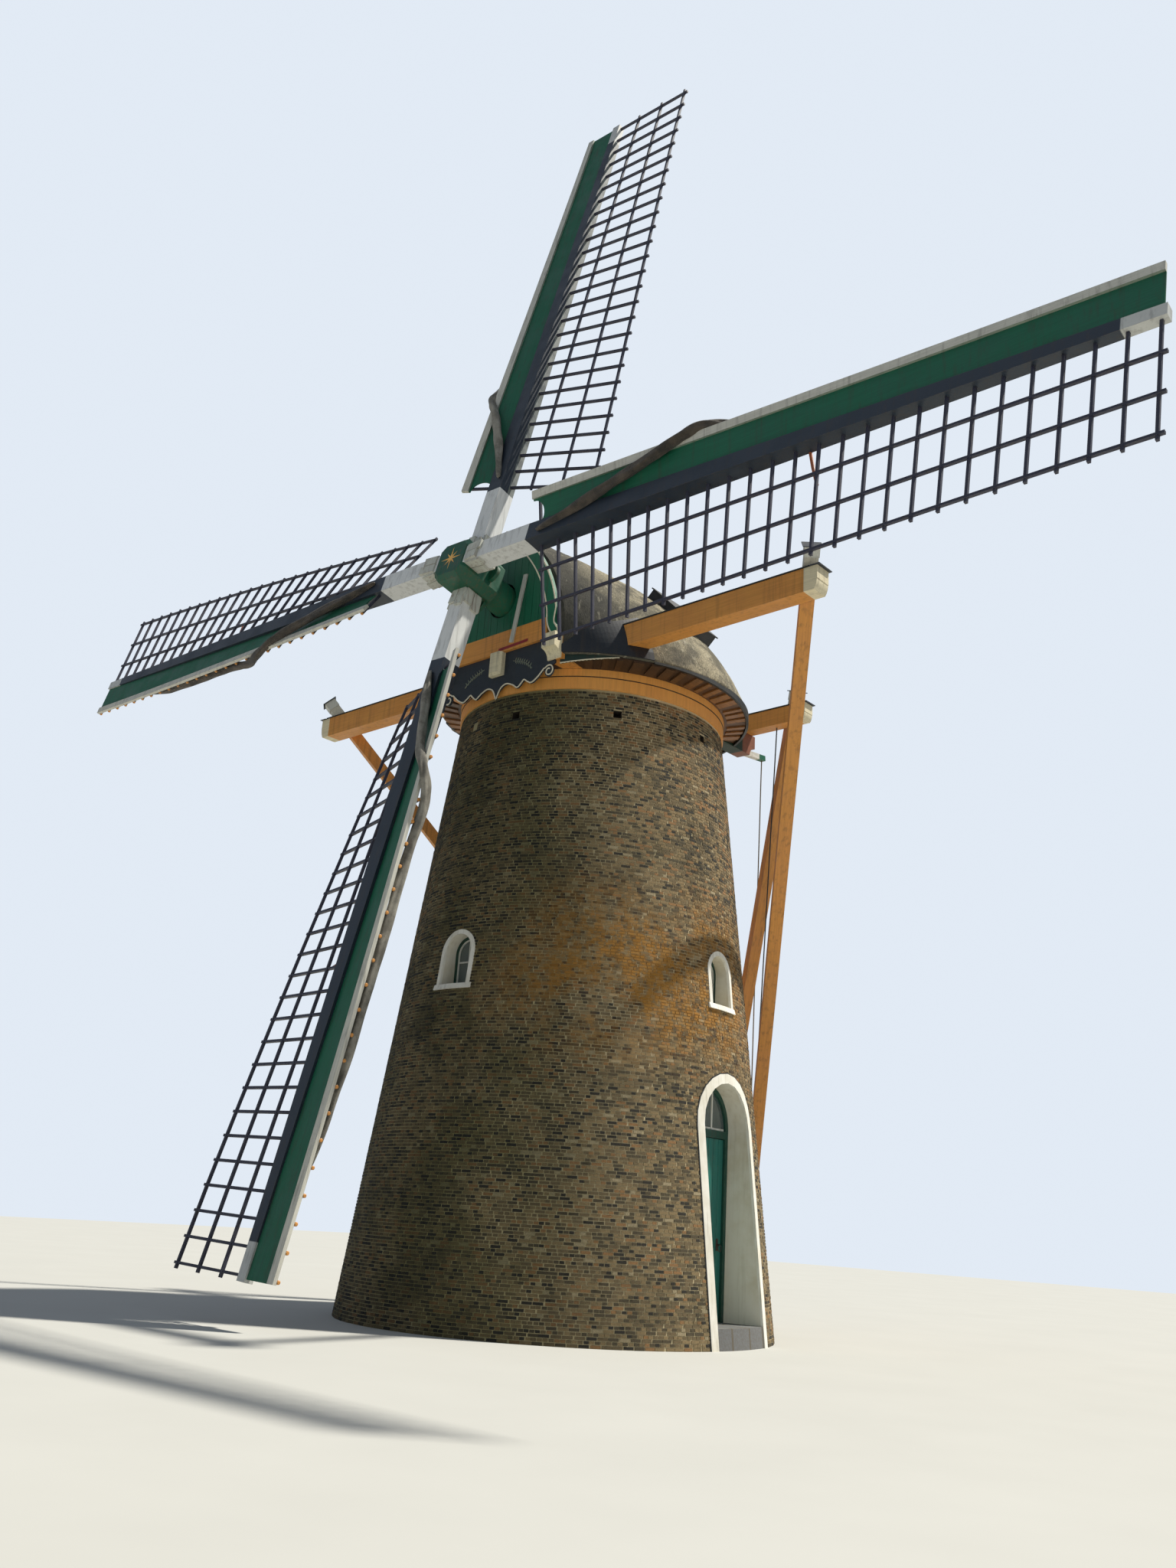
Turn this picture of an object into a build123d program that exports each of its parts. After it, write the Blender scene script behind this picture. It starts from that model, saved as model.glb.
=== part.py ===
"""A round brick tower mill with a turning thatched cap, four sails and a tail frame.

The origin is on the tower's axis at ground level, +Z is up and the sails face -Y.
Azimuths turn from the front (-Y) towards the right side (+X). Sizes are in millimetres.
"""
from build123d import *
import math
import os

os.makedirs("parts", exist_ok=True)

# Fits
SEAT = 0.3               # gap between pieces that rest on each other
RUNNING_GAP = 12.0       # gap round a piece that turns
DOOR_GAP = 6.0           # gap between the leaf and its frame

# Tower wall
TOWER_HEIGHT = 10343.0
FOOT_RADIUS = 3600.0
BATTER = 0.111           # the wall leans in by this share of its height
WALL_AT_FOOT = 900.0
WALL_AT_HEAD = 450.0
BAY_HALF_ANGLE = 16.0    # a bay is the strip of wall that holds windows and doors
FRONT_AZIMUTH = 1.5      # front and rear windows
SIDE_AZIMUTH = 95.5      # side windows and doors
PUTLOG_SIZE = 150.0      # square holes left in the brickwork for scaffold poles
PUTLOG_DEEP = 240.0
PUTLOG_Z = 9900.0
PUTLOG_FIRST = 10.0      # azimuth
PUTLOG_PITCH = 42.0

# Windows
WINDOW_WIDTH = 600.0
WINDOW_SILL = 5140.0
WINDOW_HEIGHT = 850.0
WINDOW_REVEAL = 270.0    # from the brick face in to the frame
WINDOW_FRAME = 55.0
FRAME_DEPTH = 70.0
GLASS_THICKNESS = 6.0

# Doorways
DOORWAY_WIDTH = 1400.0
DOORWAY_TOP = 3910.0
THRESHOLD = 300.0
DOOR_PLANE = 2800.0      # distance of the frame's outer face from the tower's axis
DOOR_FRAME = 80.0
DOOR_FRAME_DEPTH = 100.0
TRANSOM_TOP = 3200.0
TRANSOM_HEIGHT = 120.0
LEAF_THICKNESS = 50.0
HINGE_HEIGHTS = (750.0, 1700.0, 2600.0)
HINGE_PIN = 10.0         # radius
HINGE_KNUCKLE = 19.0     # radius
HINGE_TALL = 110.0
HINGE_STRAP = 480.0
HINGE_OFFSET = 25.0      # from the leaf's inner face to the pin

# Floors
UPPER_FLOOR = 4250.0
BOARD_FLOOR = 50.0
JOIST_DEPTH = 130.0
JOIST_WIDTH = 110.0
JOIST_PITCH = 800.0

# Curb and cap ring
CURB_HEIGHT = 217.0
CURB_OUTER = 2490.0
CURB_INNER = 2010.0
CAP_RING_HEIGHT = 139.5
CAP_RING_OUTER = 2500.0
CAP_RING_INNER = 2060.0
CAP_BEARING = 0.5        # the cap slides on the curb

# Cap
EAVE_RADIUS = 2946.0
EAVE_Z = 10800.0
CAP_FRONT = -2550.0      # back of the front boards
RIDGE_HEIGHT = 2770.0
SIDE_ROUNDNESS = 1.42    # 1 gives straight sides up to the ridge, 2 gives round ones
REAR_DRAWN_IN = 0.9      # share of its length that the rear loses up to the ridge
REAR_CURVE = 0.8
FRONT_DRAWN_OUT = 0.2    # share that the front gains up to the ridge
CAP_LEVELS = 14
THATCH = 240.0
FRONT_BOARD = 50.0
EDGE_BOARD = 60.0
EDGE_BOARD_WIDTH = 240.0
EDGE_TAIL_TOP = 11640.0  # below this the edge boards run out in a carved tail
SOFFIT = 40.0
SOFFIT_DROP = 160.0
APRON_AZIMUTH = 45.0     # black apron on the thatch beside the right edge board
APRON = 30.0
HATCH_AZIMUTH = 92.0     # hatch on the thatch over the right side
HATCH_SHARE = 0.56       # its middle's height, as a share of the ridge's
HATCH_LENGTH = 1250.0
HATCH_WIDTH = 800.0
HATCH_ABOVE = 140.0
PLANK_WIDTH = 90.0       # plank that leans beside the shaft's hole
PLANK = 30.0

# Cap frame
SHEER_SPACING = 1370.0   # each sheer's distance from the centre line
SHEER_WIDTH = 300.0
SHEER_BOTTOM = 10700.0
SHEER_TOP = 11129.0
SHEER_FRONT = -2760.0
SHEER_REAR = 3230.0
WEATHER_BEAM_HEIGHT = 400.0
WEATHER_BEAM_DEPTH = 400.0
WEATHER_BEAM_HALF = 1180.0
WEATHER_BEAM_FRONT = -2620.0
LONG_BEAM_Y = -1648.0
LONG_BEAM_Z = SHEER_TOP + 78.0       # both beams are notched over the sheers
LONG_BEAM_HALF = 6076.0
LONG_BEAM_WIDTH = 330.0
LONG_BEAM_HEIGHT = 400.0
SHORT_BEAM_Y = 3000.0
SHORT_BEAM_Z = SHEER_TOP + 170.0
SHORT_BEAM_HALF = 2917.0
SHORT_BEAM_WIDTH = 280.0
SHORT_BEAM_HEIGHT = 340.0
TAIL_BEAM_Y = 1450.0
TAIL_BEAM_WIDTH = 300.0
TAIL_BEAM_HEIGHT = 440.0
BEARD_HALF = 1380.0
BEARD_BOARD = 30.0
BEARD_Y = -2545.0
BEARD_SCROLL = 100.0     # radius of the round end of the beard board
LEAD_PLATE = 14.0        # thin plates that keep rain off the timbers' ends

# Tail
TAIL_FOOT_Y = 5499.0
TAIL_FOOT_Z = 1520.0
TAIL_POLE_WIDTH = 260.0
TAIL_POLE_BELOW = 350.0
BRACE_WIDTH = 220.0
LONG_BRACE_X = 5620.0
LONG_BRACE_ABOVE = 620.0
SHORT_BRACE_X = 2380.0
SHORT_BRACE_ABOVE = 420.0
SHORT_BRACE_FOOT = 4200.0
BRACE_BOX = 170.0        # length of the covers on the braces' heads
LEVER_X = 1100.0
LEVER_END_Y = 4155.0
LEVER_END_Z = 11030.0
LEVER_SLOPE = 0.104
LEVER_SIZE = 110.0
ROPE_DIAMETER = 24.0
ROPE_TIE = 2300.0        # height at which the brake rope is tied to the tail pole
TAIL_LINE_X = 2180.0     # where the second rope hangs from the short beam
TAIL_LINE_TIE = 2000.0

# Sails
SAIL_RADIUS = 12000.0
HUB_Y = -3553.0
HUB_Z = 12366.0
SHAFT_TILT = 11.77
SAILS_TURNED = -2.335    # how far the right sail stands above level
STOCK_OFFSET = 190.0     # each stock's distance from the hub's middle along the shaft
STOCK_HUB_WIDTH = 340.0
STOCK_HUB_DEPTH = 350.0
STOCK_TIP_WIDTH = 180.0
STOCK_TIP_DEPTH = 150.0
STOCK_STRAIGHT = 1750.0
FIRST_BAR = 2010.0
BAR_PITCH = 381.0
BAR_COUNT = int((SAIL_RADIUS - FIRST_BAR) / BAR_PITCH) + 1
BAR_WIDTH = 40.0
BAR_DEPTH = 46.0
BAR_BEYOND = 80.0
TRAILING_WIDTH = 1790.0
LEADING_WIDTH = 770.0
TWIST_ROOT = 22.0
TWIST_TIP = 1.0
TWIST_CURVE = 1.3
BOARD_THICKNESS = 22.0
BOARD_START = 1900.0
BOARD_END = SAIL_RADIUS - 40.0
EDGE_STRIP_WIDTH = 140.0
EDGE_STRIP_DEPTH = 60.0
CLOTH_ROLL = 150.0       # diameter of a furled sail cloth
CLOTH_START = 4800.0
CLOTH_END = SAIL_RADIUS - 1600.0
CLOTH_CLEAR = 1.1        # behind the bars, so that it just clears each of them

# Hub
POLL_WIDTH = 800.0
POLL_FRONT = 385.0
POLL_REAR = -520.0
POLL_CHAMFER = 80.0
POLL_LUG = 170.0         # radius of the half-round lugs
WEDGE_LENGTH = 350.0     # wedges that hold the stocks in the poll
WEDGE_THIN = 30.0
WEDGE_THICK = 52.0
NECK_RADIUS = 290.0
SHAFT_TAIL_RADIUS = 160.0
SHAFT_HOLE = 330.0

FAR = 5 * FOOT_RADIUS    # reaches past everything, for cutting


def save(node, shape):
    """Writes one node's solids to its own file."""
    solids = shape.solids()
    shape = solids[0] if len(solids) == 1 else Compound(children=list(solids))
    export_step(shape, f"parts/{node}.step")


def wall_radius(z):
    """Outside radius of the tower at a height."""
    return FOOT_RADIUS - BATTER * z


def wall_inner(z):
    """Inside radius of the tower at a height."""
    thick = WALL_AT_FOOT + (WALL_AT_HEAD - WALL_AT_FOOT) * z / TOWER_HEIGHT
    return wall_radius(z) - thick


def radial_plane(azimuth, distance=0.0):
    """A plane whose x runs round the tower, y up and z outwards."""
    a = math.radians(azimuth)
    out = Vector(math.sin(a), -math.cos(a), 0)
    return Plane(origin=out * distance, x_dir=(math.cos(a), math.sin(a), 0), z_dir=out)


def ring(inner, outer, bottom, height):
    """A flat ring about the tower's axis."""
    blank = extrude(Circle(outer) - Circle(inner), height)
    return Pos(0, 0, bottom) * blank


def arch(width, foot, top):
    """An opening with straight sides and a round head."""
    spring = top - width / 2
    sides = Pos(0, foot) * Rectangle(width, spring - foot, align=(Align.CENTER, Align.MIN))
    return sides + Pos(0, spring) * Circle(width / 2)


def through(azimuth, outline, near=0.35 * FOOT_RADIUS, far=1.25 * FOOT_RADIUS):
    """An outline pushed through the wall at an azimuth."""
    return extrude(radial_plane(azimuth, near) * outline, far - near)


def putlogs(start, end):
    """The scaffold holes between two azimuths, as blocks to cut with."""
    face = wall_radius(PUTLOG_Z)
    for i in range(int(360 / PUTLOG_PITCH) + 1):
        azimuth = PUTLOG_FIRST + i * PUTLOG_PITCH
        if start < azimuth < end or start < azimuth + 360 < end:
            yield through(azimuth, Pos(0, PUTLOG_Z) * Rectangle(PUTLOG_SIZE, PUTLOG_SIZE), face - PUTLOG_DEEP)


def wall_strip(start, end, bottom=0.0, top=TOWER_HEIGHT):
    """The wall between two azimuths and two heights."""
    profile = Plane.XZ * Polygon(
        (wall_inner(bottom), bottom), (wall_radius(bottom), bottom),
        (wall_radius(top), top), (wall_inner(top), top), align=None)
    strip = Rot(0, 0, start - 90) * revolve(profile, Axis.Z, revolution_arc=end - start)
    if top > PUTLOG_Z:
        for hole in putlogs(start, end):
            strip = strip - hole
    return strip


def block(x0, x1, y0, y1, z0, z1):
    """A box between two corners."""
    return Pos((x0 + x1) / 2, (y0 + y1) / 2, (z0 + z1) / 2) * Box(x1 - x0, y1 - y0, z1 - z0)


def timber(start, end, width, depth):
    """A straight timber from one point to another, its width level."""
    start = Vector(*start)
    along = Vector(*end) - start
    side = along.cross(Vector(0, 0, 1)).normalized()
    return extrude(Plane(origin=start, x_dir=side, z_dir=along.normalized()) * Rectangle(width, depth),
                   along.length)


BAYS = {"front": FRONT_AZIMUTH, "right": SIDE_AZIMUTH, "rear": FRONT_AZIMUTH + 180, "left": SIDE_AZIMUTH + 180}
DOOR_SIDES = ("right", "left")


def make_walls():
    """Four plain quarters, and between them four bays with their windows and doorways."""
    window = arch(WINDOW_WIDTH, WINDOW_SILL, WINDOW_SILL + WINDOW_HEIGHT)
    doorway = arch(DOORWAY_WIDTH, THRESHOLD, DOORWAY_TOP)
    thresholds = []
    for side, azimuth in BAYS.items():
        first, last = azimuth - BAY_HALF_ANGLE, azimuth + BAY_HALF_ANGLE
        strip = wall_strip(first, last) - through(azimuth, window)
        if side not in DOOR_SIDES:
            save(f"{side}_wall", strip)
            continue
        strip = strip - through(azimuth, doorway)
        below = wall_strip(first, last, 0, TRANSOM_TOP)
        opening = Pos(0, TRANSOM_TOP / 2) * Rectangle(DOORWAY_WIDTH, TRANSOM_TOP)
        save(f"{side}_door_jambs", below - through(azimuth, opening))
        save(f"{side}_wall", strip & wall_strip(first, last, TRANSOM_TOP + SEAT, TOWER_HEIGHT))
        slab = Pos(0, (THRESHOLD - SEAT) / 2) * Rectangle(DOORWAY_WIDTH - 2 * SEAT, THRESHOLD - SEAT)
        thresholds.append(through(azimuth, slab) & wall_strip(first, last, 0, TRANSOM_TOP))
    save("door_thresholds", Compound(children=[s for t in thresholds for s in t.solids()]))
    corners = {"front_right": ("front", "right", 0), "rear_right": ("right", "rear", 0),
               "rear_left": ("rear", "left", 0), "front_left": ("left", "front", 360)}
    for name, (first, last, turn) in corners.items():
        start = BAYS[first] + BAY_HALF_ANGLE
        end = BAYS[last] - BAY_HALF_ANGLE + turn
        save(f"{name}_wall", wall_strip(start, end))


def make_windows():
    """An arched frame and a pane in each window."""
    top = WINDOW_SILL + WINDOW_HEIGHT
    middle = WINDOW_SILL + WINDOW_HEIGHT / 2
    set_back = wall_radius(middle) - WINDOW_REVEAL
    outer = arch(WINDOW_WIDTH - 2 * SEAT, WINDOW_SILL + SEAT, top - SEAT)
    inner = arch(WINDOW_WIDTH - 2 * WINDOW_FRAME, WINDOW_SILL + WINDOW_FRAME, top - WINDOW_FRAME)
    pane = arch(WINDOW_WIDTH - 2 * WINDOW_FRAME - 2 * SEAT, WINDOW_SILL + WINDOW_FRAME + SEAT,
                top - WINDOW_FRAME - SEAT)
    frames, panes = [], []
    for azimuth in BAYS.values():
        frames.append(extrude(radial_plane(azimuth, set_back - FRAME_DEPTH) * (outer - inner), FRAME_DEPTH))
        glass_at = set_back - FRAME_DEPTH / 2
        panes.append(extrude(radial_plane(azimuth, glass_at) * pane, GLASS_THICKNESS))
    save("window_frames", Compound(children=[s for f in frames for s in f.solids()]))
    return panes


def door_hinges(azimuth):
    """Strap hinges: knuckles and straps that ride on the leaf, pins and plates on the frame."""
    leaf_edge = -(DOORWAY_WIDTH / 2 - DOOR_FRAME - DOOR_GAP)
    inner_face = DOOR_PLANE - DOOR_FRAME_DEPTH
    pin_x = leaf_edge - DOOR_GAP / 2
    face = radial_plane(azimuth, inner_face)
    plate = 8.0
    straps, pins = [], []
    for z in HINGE_HEIGHTS:
        upright = face * Pos(pin_x, z, -HINGE_OFFSET) * Rot(90, 0, 0)
        knuckle = upright * Cylinder(HINGE_KNUCKLE, HINGE_TALL)
        bore = upright * Cylinder(HINGE_PIN + SEAT, HINGE_TALL * 2)
        strap = face * Pos(pin_x + HINGE_STRAP / 2, z, -plate / 2) * Box(HINGE_STRAP, HINGE_TALL / 2, plate)
        web = face * Pos(pin_x + HINGE_KNUCKLE / 2 + 12, z, -HINGE_OFFSET / 2) * Box(14, HINGE_TALL / 2,
                                                                                     HINGE_OFFSET)
        straps.append((knuckle + strap + web) - bore)
        foot = z - HINGE_TALL / 2 - SEAT - 10
        pin = face * Pos(pin_x, z, -HINGE_OFFSET) * Rot(90, 0, 0) * Cylinder(HINGE_PIN, HINGE_TALL + 20)
        shelf = face * Pos(pin_x - 20, foot, -HINGE_OFFSET / 2 - 9) * Box(58, 20, HINGE_OFFSET + 18)
        pins.append(pin + shelf)
    return straps, pins


def make_doors():
    """Arched frames with a fanlight, and a leaf that opens inwards on the right side."""
    outer = arch(DOORWAY_WIDTH - 2 * SEAT, THRESHOLD + SEAT, DOORWAY_TOP - SEAT)
    clear = DOORWAY_WIDTH - 2 * DOOR_FRAME
    head = DOORWAY_TOP - DOOR_FRAME
    transom_bottom = TRANSOM_TOP - TRANSOM_HEIGHT
    hole = arch(clear, THRESHOLD, head)
    transom = Pos(0, transom_bottom) * Rectangle(clear, TRANSOM_HEIGHT, align=(Align.CENTER, Align.MIN))
    outline = (outer - hole) + transom
    light = arch(clear - 2 * SEAT, THRESHOLD, head - SEAT)
    light = light & Pos(0, TRANSOM_TOP + SEAT) * Rectangle(clear, clear, align=(Align.CENTER, Align.MIN))
    leaf_bottom = THRESHOLD + DOOR_GAP
    leaf = Pos(0, leaf_bottom) * Rectangle(
        clear - 2 * DOOR_GAP, transom_bottom - DOOR_GAP - leaf_bottom, align=(Align.CENTER, Align.MIN))
    inner_face = DOOR_PLANE - DOOR_FRAME_DEPTH
    frames, panes = [], []
    for side in DOOR_SIDES:
        azimuth = BAYS[side]
        straps, pins = door_hinges(azimuth)
        frame = extrude(radial_plane(azimuth, inner_face) * outline, DOOR_FRAME_DEPTH)
        for pin in pins:
            frame = frame + pin
        frames.append(frame)
        panes.append(extrude(radial_plane(azimuth, inner_face + DOOR_FRAME_DEPTH / 2) * light, GLASS_THICKNESS))
        door = extrude(radial_plane(azimuth, inner_face) * leaf, LEAF_THICKNESS)
        for strap in straps:
            door = door + strap
        save(f"{side}_door", door)
    save("door_frames", Compound(children=[s for f in frames for s in f.solids()]))
    return panes


def make_floors():
    """A paved ground floor and a boarded floor on joists below the windows."""
    save("ground_floor", extrude(Circle(wall_inner(THRESHOLD) - SEAT), THRESHOLD - SEAT))
    radius = wall_inner(UPPER_FLOOR) - SEAT
    boards = Pos(0, 0, UPPER_FLOOR - BOARD_FLOOR) * extrude(Circle(radius), BOARD_FLOOR)
    count = int((radius - JOIST_WIDTH) / JOIST_PITCH)
    for i in range(-count, count + 1):
        x = i * JOIST_PITCH
        half = math.sqrt(radius ** 2 - (abs(x) + JOIST_WIDTH / 2) ** 2)
        under = UPPER_FLOOR - BOARD_FLOOR
        boards = boards + block(x - JOIST_WIDTH / 2, x + JOIST_WIDTH / 2, -half, half, under - JOIST_DEPTH, under)
    save("upper_floor", boards)


CURB_TOP = TOWER_HEIGHT + SEAT + CURB_HEIGHT
CAP_RING_BOTTOM = CURB_TOP + CAP_BEARING


def cap_half(share):
    """Half the cap's width at a share of the ridge's height, as a share of the eave's radius."""
    return (1 - share ** SIDE_ROUNDNESS) ** (1 / SIDE_ROUNDNESS)


def cap_front(share):
    """How far the cap runs forward at a share of its height, as a share of the eave's radius."""
    return 1 + FRONT_DRAWN_OUT * share


def cap_rear(share):
    """How far the cap runs back at a share of its height, as a share of the eave's radius."""
    return 1 - REAR_DRAWN_IN * share ** REAR_CURVE


def half_oval(half, length):
    """Half an oval from one side of the cap to the other; a negative length runs to the front."""
    steps = 8
    points = [(half * math.cos(math.pi * i / steps), length * math.sin(math.pi * i / steps))
              for i in range(steps + 1)]
    points[-1] = (-half, 0)
    return Spline(*points, tangents=[(0, length), (0, -length)])


def cap_body(inset):
    """The cap's outside form, or one set in from it: half ovals front and rear at every level."""
    sections = []
    radius = EAVE_RADIUS - inset
    for i in range(CAP_LEVELS):
        share = math.sin(i / (CAP_LEVELS - 1) * math.pi / 2) * 0.995
        half = radius * cap_half(share)
        outline = half_oval(half, -radius * cap_front(share)) + half_oval(half, radius * cap_rear(share))
        sections.append(Pos(0, 0, EAVE_Z + (RIDGE_HEIGHT - inset) * share) * make_face(outline.edges()))
    return loft(sections, ruled=True)


def outside_cap(shape, proud=SEAT):
    """What of a shape lies outside the thatch."""
    return shape - cap_body(-proud)


def make_thatch(cuts):
    """The thatched shell, in two halves that meet along the ridge."""
    front = block(-FAR, FAR, -FAR, CAP_FRONT, 0, FAR)
    shell = cap_body(0) - cap_body(THATCH) - front
    for cut in cuts:
        shell = shell - cut
    halves = {"right": block(SEAT / 2, FAR, -FAR, FAR, 0, FAR), "left": block(-FAR, -SEAT / 2, -FAR, FAR, 0, FAR)}
    for side, half in halves.items():
        piece = shell & half
        biggest = max(piece.solids(), key=lambda s: s.volume)
        save(f"thatch_{side}", biggest)


def gable_half(share, y):
    """Half the gable's width at a share of the ridge's height, on a plane across the cap's front."""
    length = EAVE_RADIUS * cap_front(share)
    return EAVE_RADIUS * cap_half(share) * math.sqrt(1 - (y / length) ** 2)


def both_sides(shape):
    """A flat right-hand outline together with its mirror image."""
    return shape + mirror(shape, Plane.YZ)


def make_edge_boards():
    """Boards along the gable's edge that run out below in a carved double curve."""
    y = CAP_FRONT - FRONT_BOARD - SEAT
    foot = (EDGE_TAIL_TOP - EAVE_Z) / RIDGE_HEIGHT
    shares = [foot + (1 - foot) * i / 8 for i in range(9)]
    points = [(gable_half(share, y), EAVE_Z + RIDGE_HEIGHT * share) for share in shares]
    outer = Spline(*points)
    set_in = []
    for i in range(8):
        along = outer.tangent_at(i / 8)
        set_in.append(outer.position_at(i / 8) + Vector(-along.Y, along.X, 0) * EDGE_BOARD_WIDTH)
    set_in.append(Vector(0, points[-1][1] - 1.3 * EDGE_BOARD_WIDTH, 0))
    inner = Spline(*set_in)
    start = points[0][0]
    foot_z = SHEER_TOP + SEAT
    outer_tail = Spline(points[0], (start - 25, EDGE_TAIL_TOP - 240), (start + 35, foot_z + 155),
                        (start + 80, foot_z + 80), (start + 45, foot_z + 15), (start - 40, foot_z))
    inner_tail = Spline((start - 95, foot_z), (start - 180, foot_z + 170), (start - 225, EDGE_TAIL_TOP - 190),
                        set_in[0])
    outline = make_face([outer.edge(), Line(points[-1], set_in[-1]).edge(), inner.edge(), inner_tail.edge(),
                         Line((start - 95, foot_z), (start - 40, foot_z)).edge(), outer_tail.edge()])
    board = Pos(0, y - EDGE_BOARD / 2, 0) * extrude(Plane.XZ * outline, EDGE_BOARD / 2, both=True)
    board = board - block(-WEATHER_BEAM_HALF - SEAT, WEATHER_BEAM_HALF + SEAT, -FAR, FAR, 0,
                          SHEER_TOP + WEATHER_BEAM_HEIGHT + SEAT)
    board = board - block(-FAR, SEAT / 2, -FAR, FAR, 0, FAR) - block(-FAR, FAR, -FAR, FAR, 0, foot_z)
    right = max(board.solids(), key=lambda s: s.volume)
    save("edge_boards", Compound(children=[right, mirror(right, Plane.YZ)]))


def make_front():
    """Boards that close the cap's front, and a plank that leans against them."""
    beam_top = SHEER_TOP + WEATHER_BEAM_HEIGHT
    slab = block(-FAR, FAR, CAP_FRONT - FRONT_BOARD, CAP_FRONT - SEAT, beam_top + SEAT, FAR)
    hole = shaft_cylinder(SHAFT_HOLE)
    save("front_boards", (cap_body(THATCH / 2) & slab) - hole)
    back = WEATHER_BEAM_FRONT - SEAT
    foot = Vector(340, back - PLANK / 2, beam_top - 275)
    head = Vector(570, back - PLANK / 2, beam_top + 995)
    save("lean_plank", timber(foot, head, PLANK, PLANK_WIDTH))


def make_apron(rooms):
    """A tarred apron on the thatch beside the right edge board."""
    eave = EAVE_Z + SEAT
    outline = Polygon((-660, eave), (-660, eave + 280), (-240, eave + 430), (100, eave + 590), (480, eave + 800),
                      (640, eave + 500), (760, eave + 310), (700, eave), align=None)
    apron = outside_cap(cap_body(-APRON) & through(APRON_AZIMUTH, outline, 0))
    for room in rooms:
        apron = apron - room
    apron = apron - block(-FAR, FAR, -FAR, CAP_FRONT - FRONT_BOARD, 0, FAR)
    save("apron", max(apron.solids(), key=lambda s: s.volume))


def hatch_place():
    """The hatch's plane on the thatch: x along the eave, y up the slope and z outwards."""
    step = 0.02
    a = math.radians(HATCH_AZIMUTH)
    out = Vector(math.sin(a), -math.cos(a), 0)
    rise = RIDGE_HEIGHT * step
    inwards = EAVE_RADIUS * (cap_half(HATCH_SHARE) - cap_half(HATCH_SHARE + step))
    middle = out * EAVE_RADIUS * cap_half(HATCH_SHARE) + Vector(0, 0, EAVE_Z + RIDGE_HEIGHT * HATCH_SHARE)
    return Plane(origin=middle, x_dir=(math.cos(a), math.sin(a), 0), z_dir=out * rise + Vector(0, 0, inwards))


def make_hatch():
    """A low hatch frame on the slope with its lid shut; returns the way that it needs through the thatch."""
    place = hatch_place()
    timber_size = 50.0
    opening = Box(HATCH_WIDTH - 2 * timber_size, HATCH_LENGTH - 2 * timber_size, 8 * HATCH_ABOVE)
    sides = Box(HATCH_WIDTH, HATCH_LENGTH, 3 * HATCH_ABOVE) - opening
    frame = outside_cap(place * Pos(0, 0, -HATCH_ABOVE / 2) * sides)
    lid = place * Pos(0, 0, HATCH_ABOVE + SEAT + 12) * Box(HATCH_WIDTH + 60, HATCH_LENGTH + 60, 24)
    save("ridge_hatch", Compound(children=[max(frame.solids(), key=lambda s: s.volume), lid.solid()]))
    return place * opening


FORWARD = Vector(0, -math.cos(math.radians(SHAFT_TILT)), math.sin(math.radians(SHAFT_TILT)))
HUB = Plane(origin=(0, HUB_Y, HUB_Z), x_dir=(1, 0, 0), z_dir=FORWARD)


def shaft_point(y):
    """Height of the shaft's axis at a distance along Y."""
    return HUB_Z - (y - HUB_Y) * math.tan(math.radians(SHAFT_TILT))


def shaft_cylinder(radius, front=POLL_REAR, rear=-2 * FOOT_RADIUS):
    """A cylinder on the shaft's axis."""
    return HUB * Pos(0, 0, rear) * Cylinder(radius, front - rear, align=(Align.CENTER, Align.CENTER, Align.MIN))


def beam_end(length, y, z, width, height):
    """A beam along X whose ends curve up underneath."""
    radius = height * 0.8
    outline = Rectangle(2 * length, height)
    for side in (-1, 1):
        corner = Pos(side * length, -height / 2)
        outline = outline - corner * (Rectangle(2 * radius, 2 * radius * 0.55) - Pos(-side * radius, radius * 0.55)
                                      * Circle(radius * 0.98))
    solid = extrude(Plane.XZ * outline, width / 2, both=True)
    return Pos(0, y, z) * max(solid.solids(), key=lambda s: s.volume)


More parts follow.
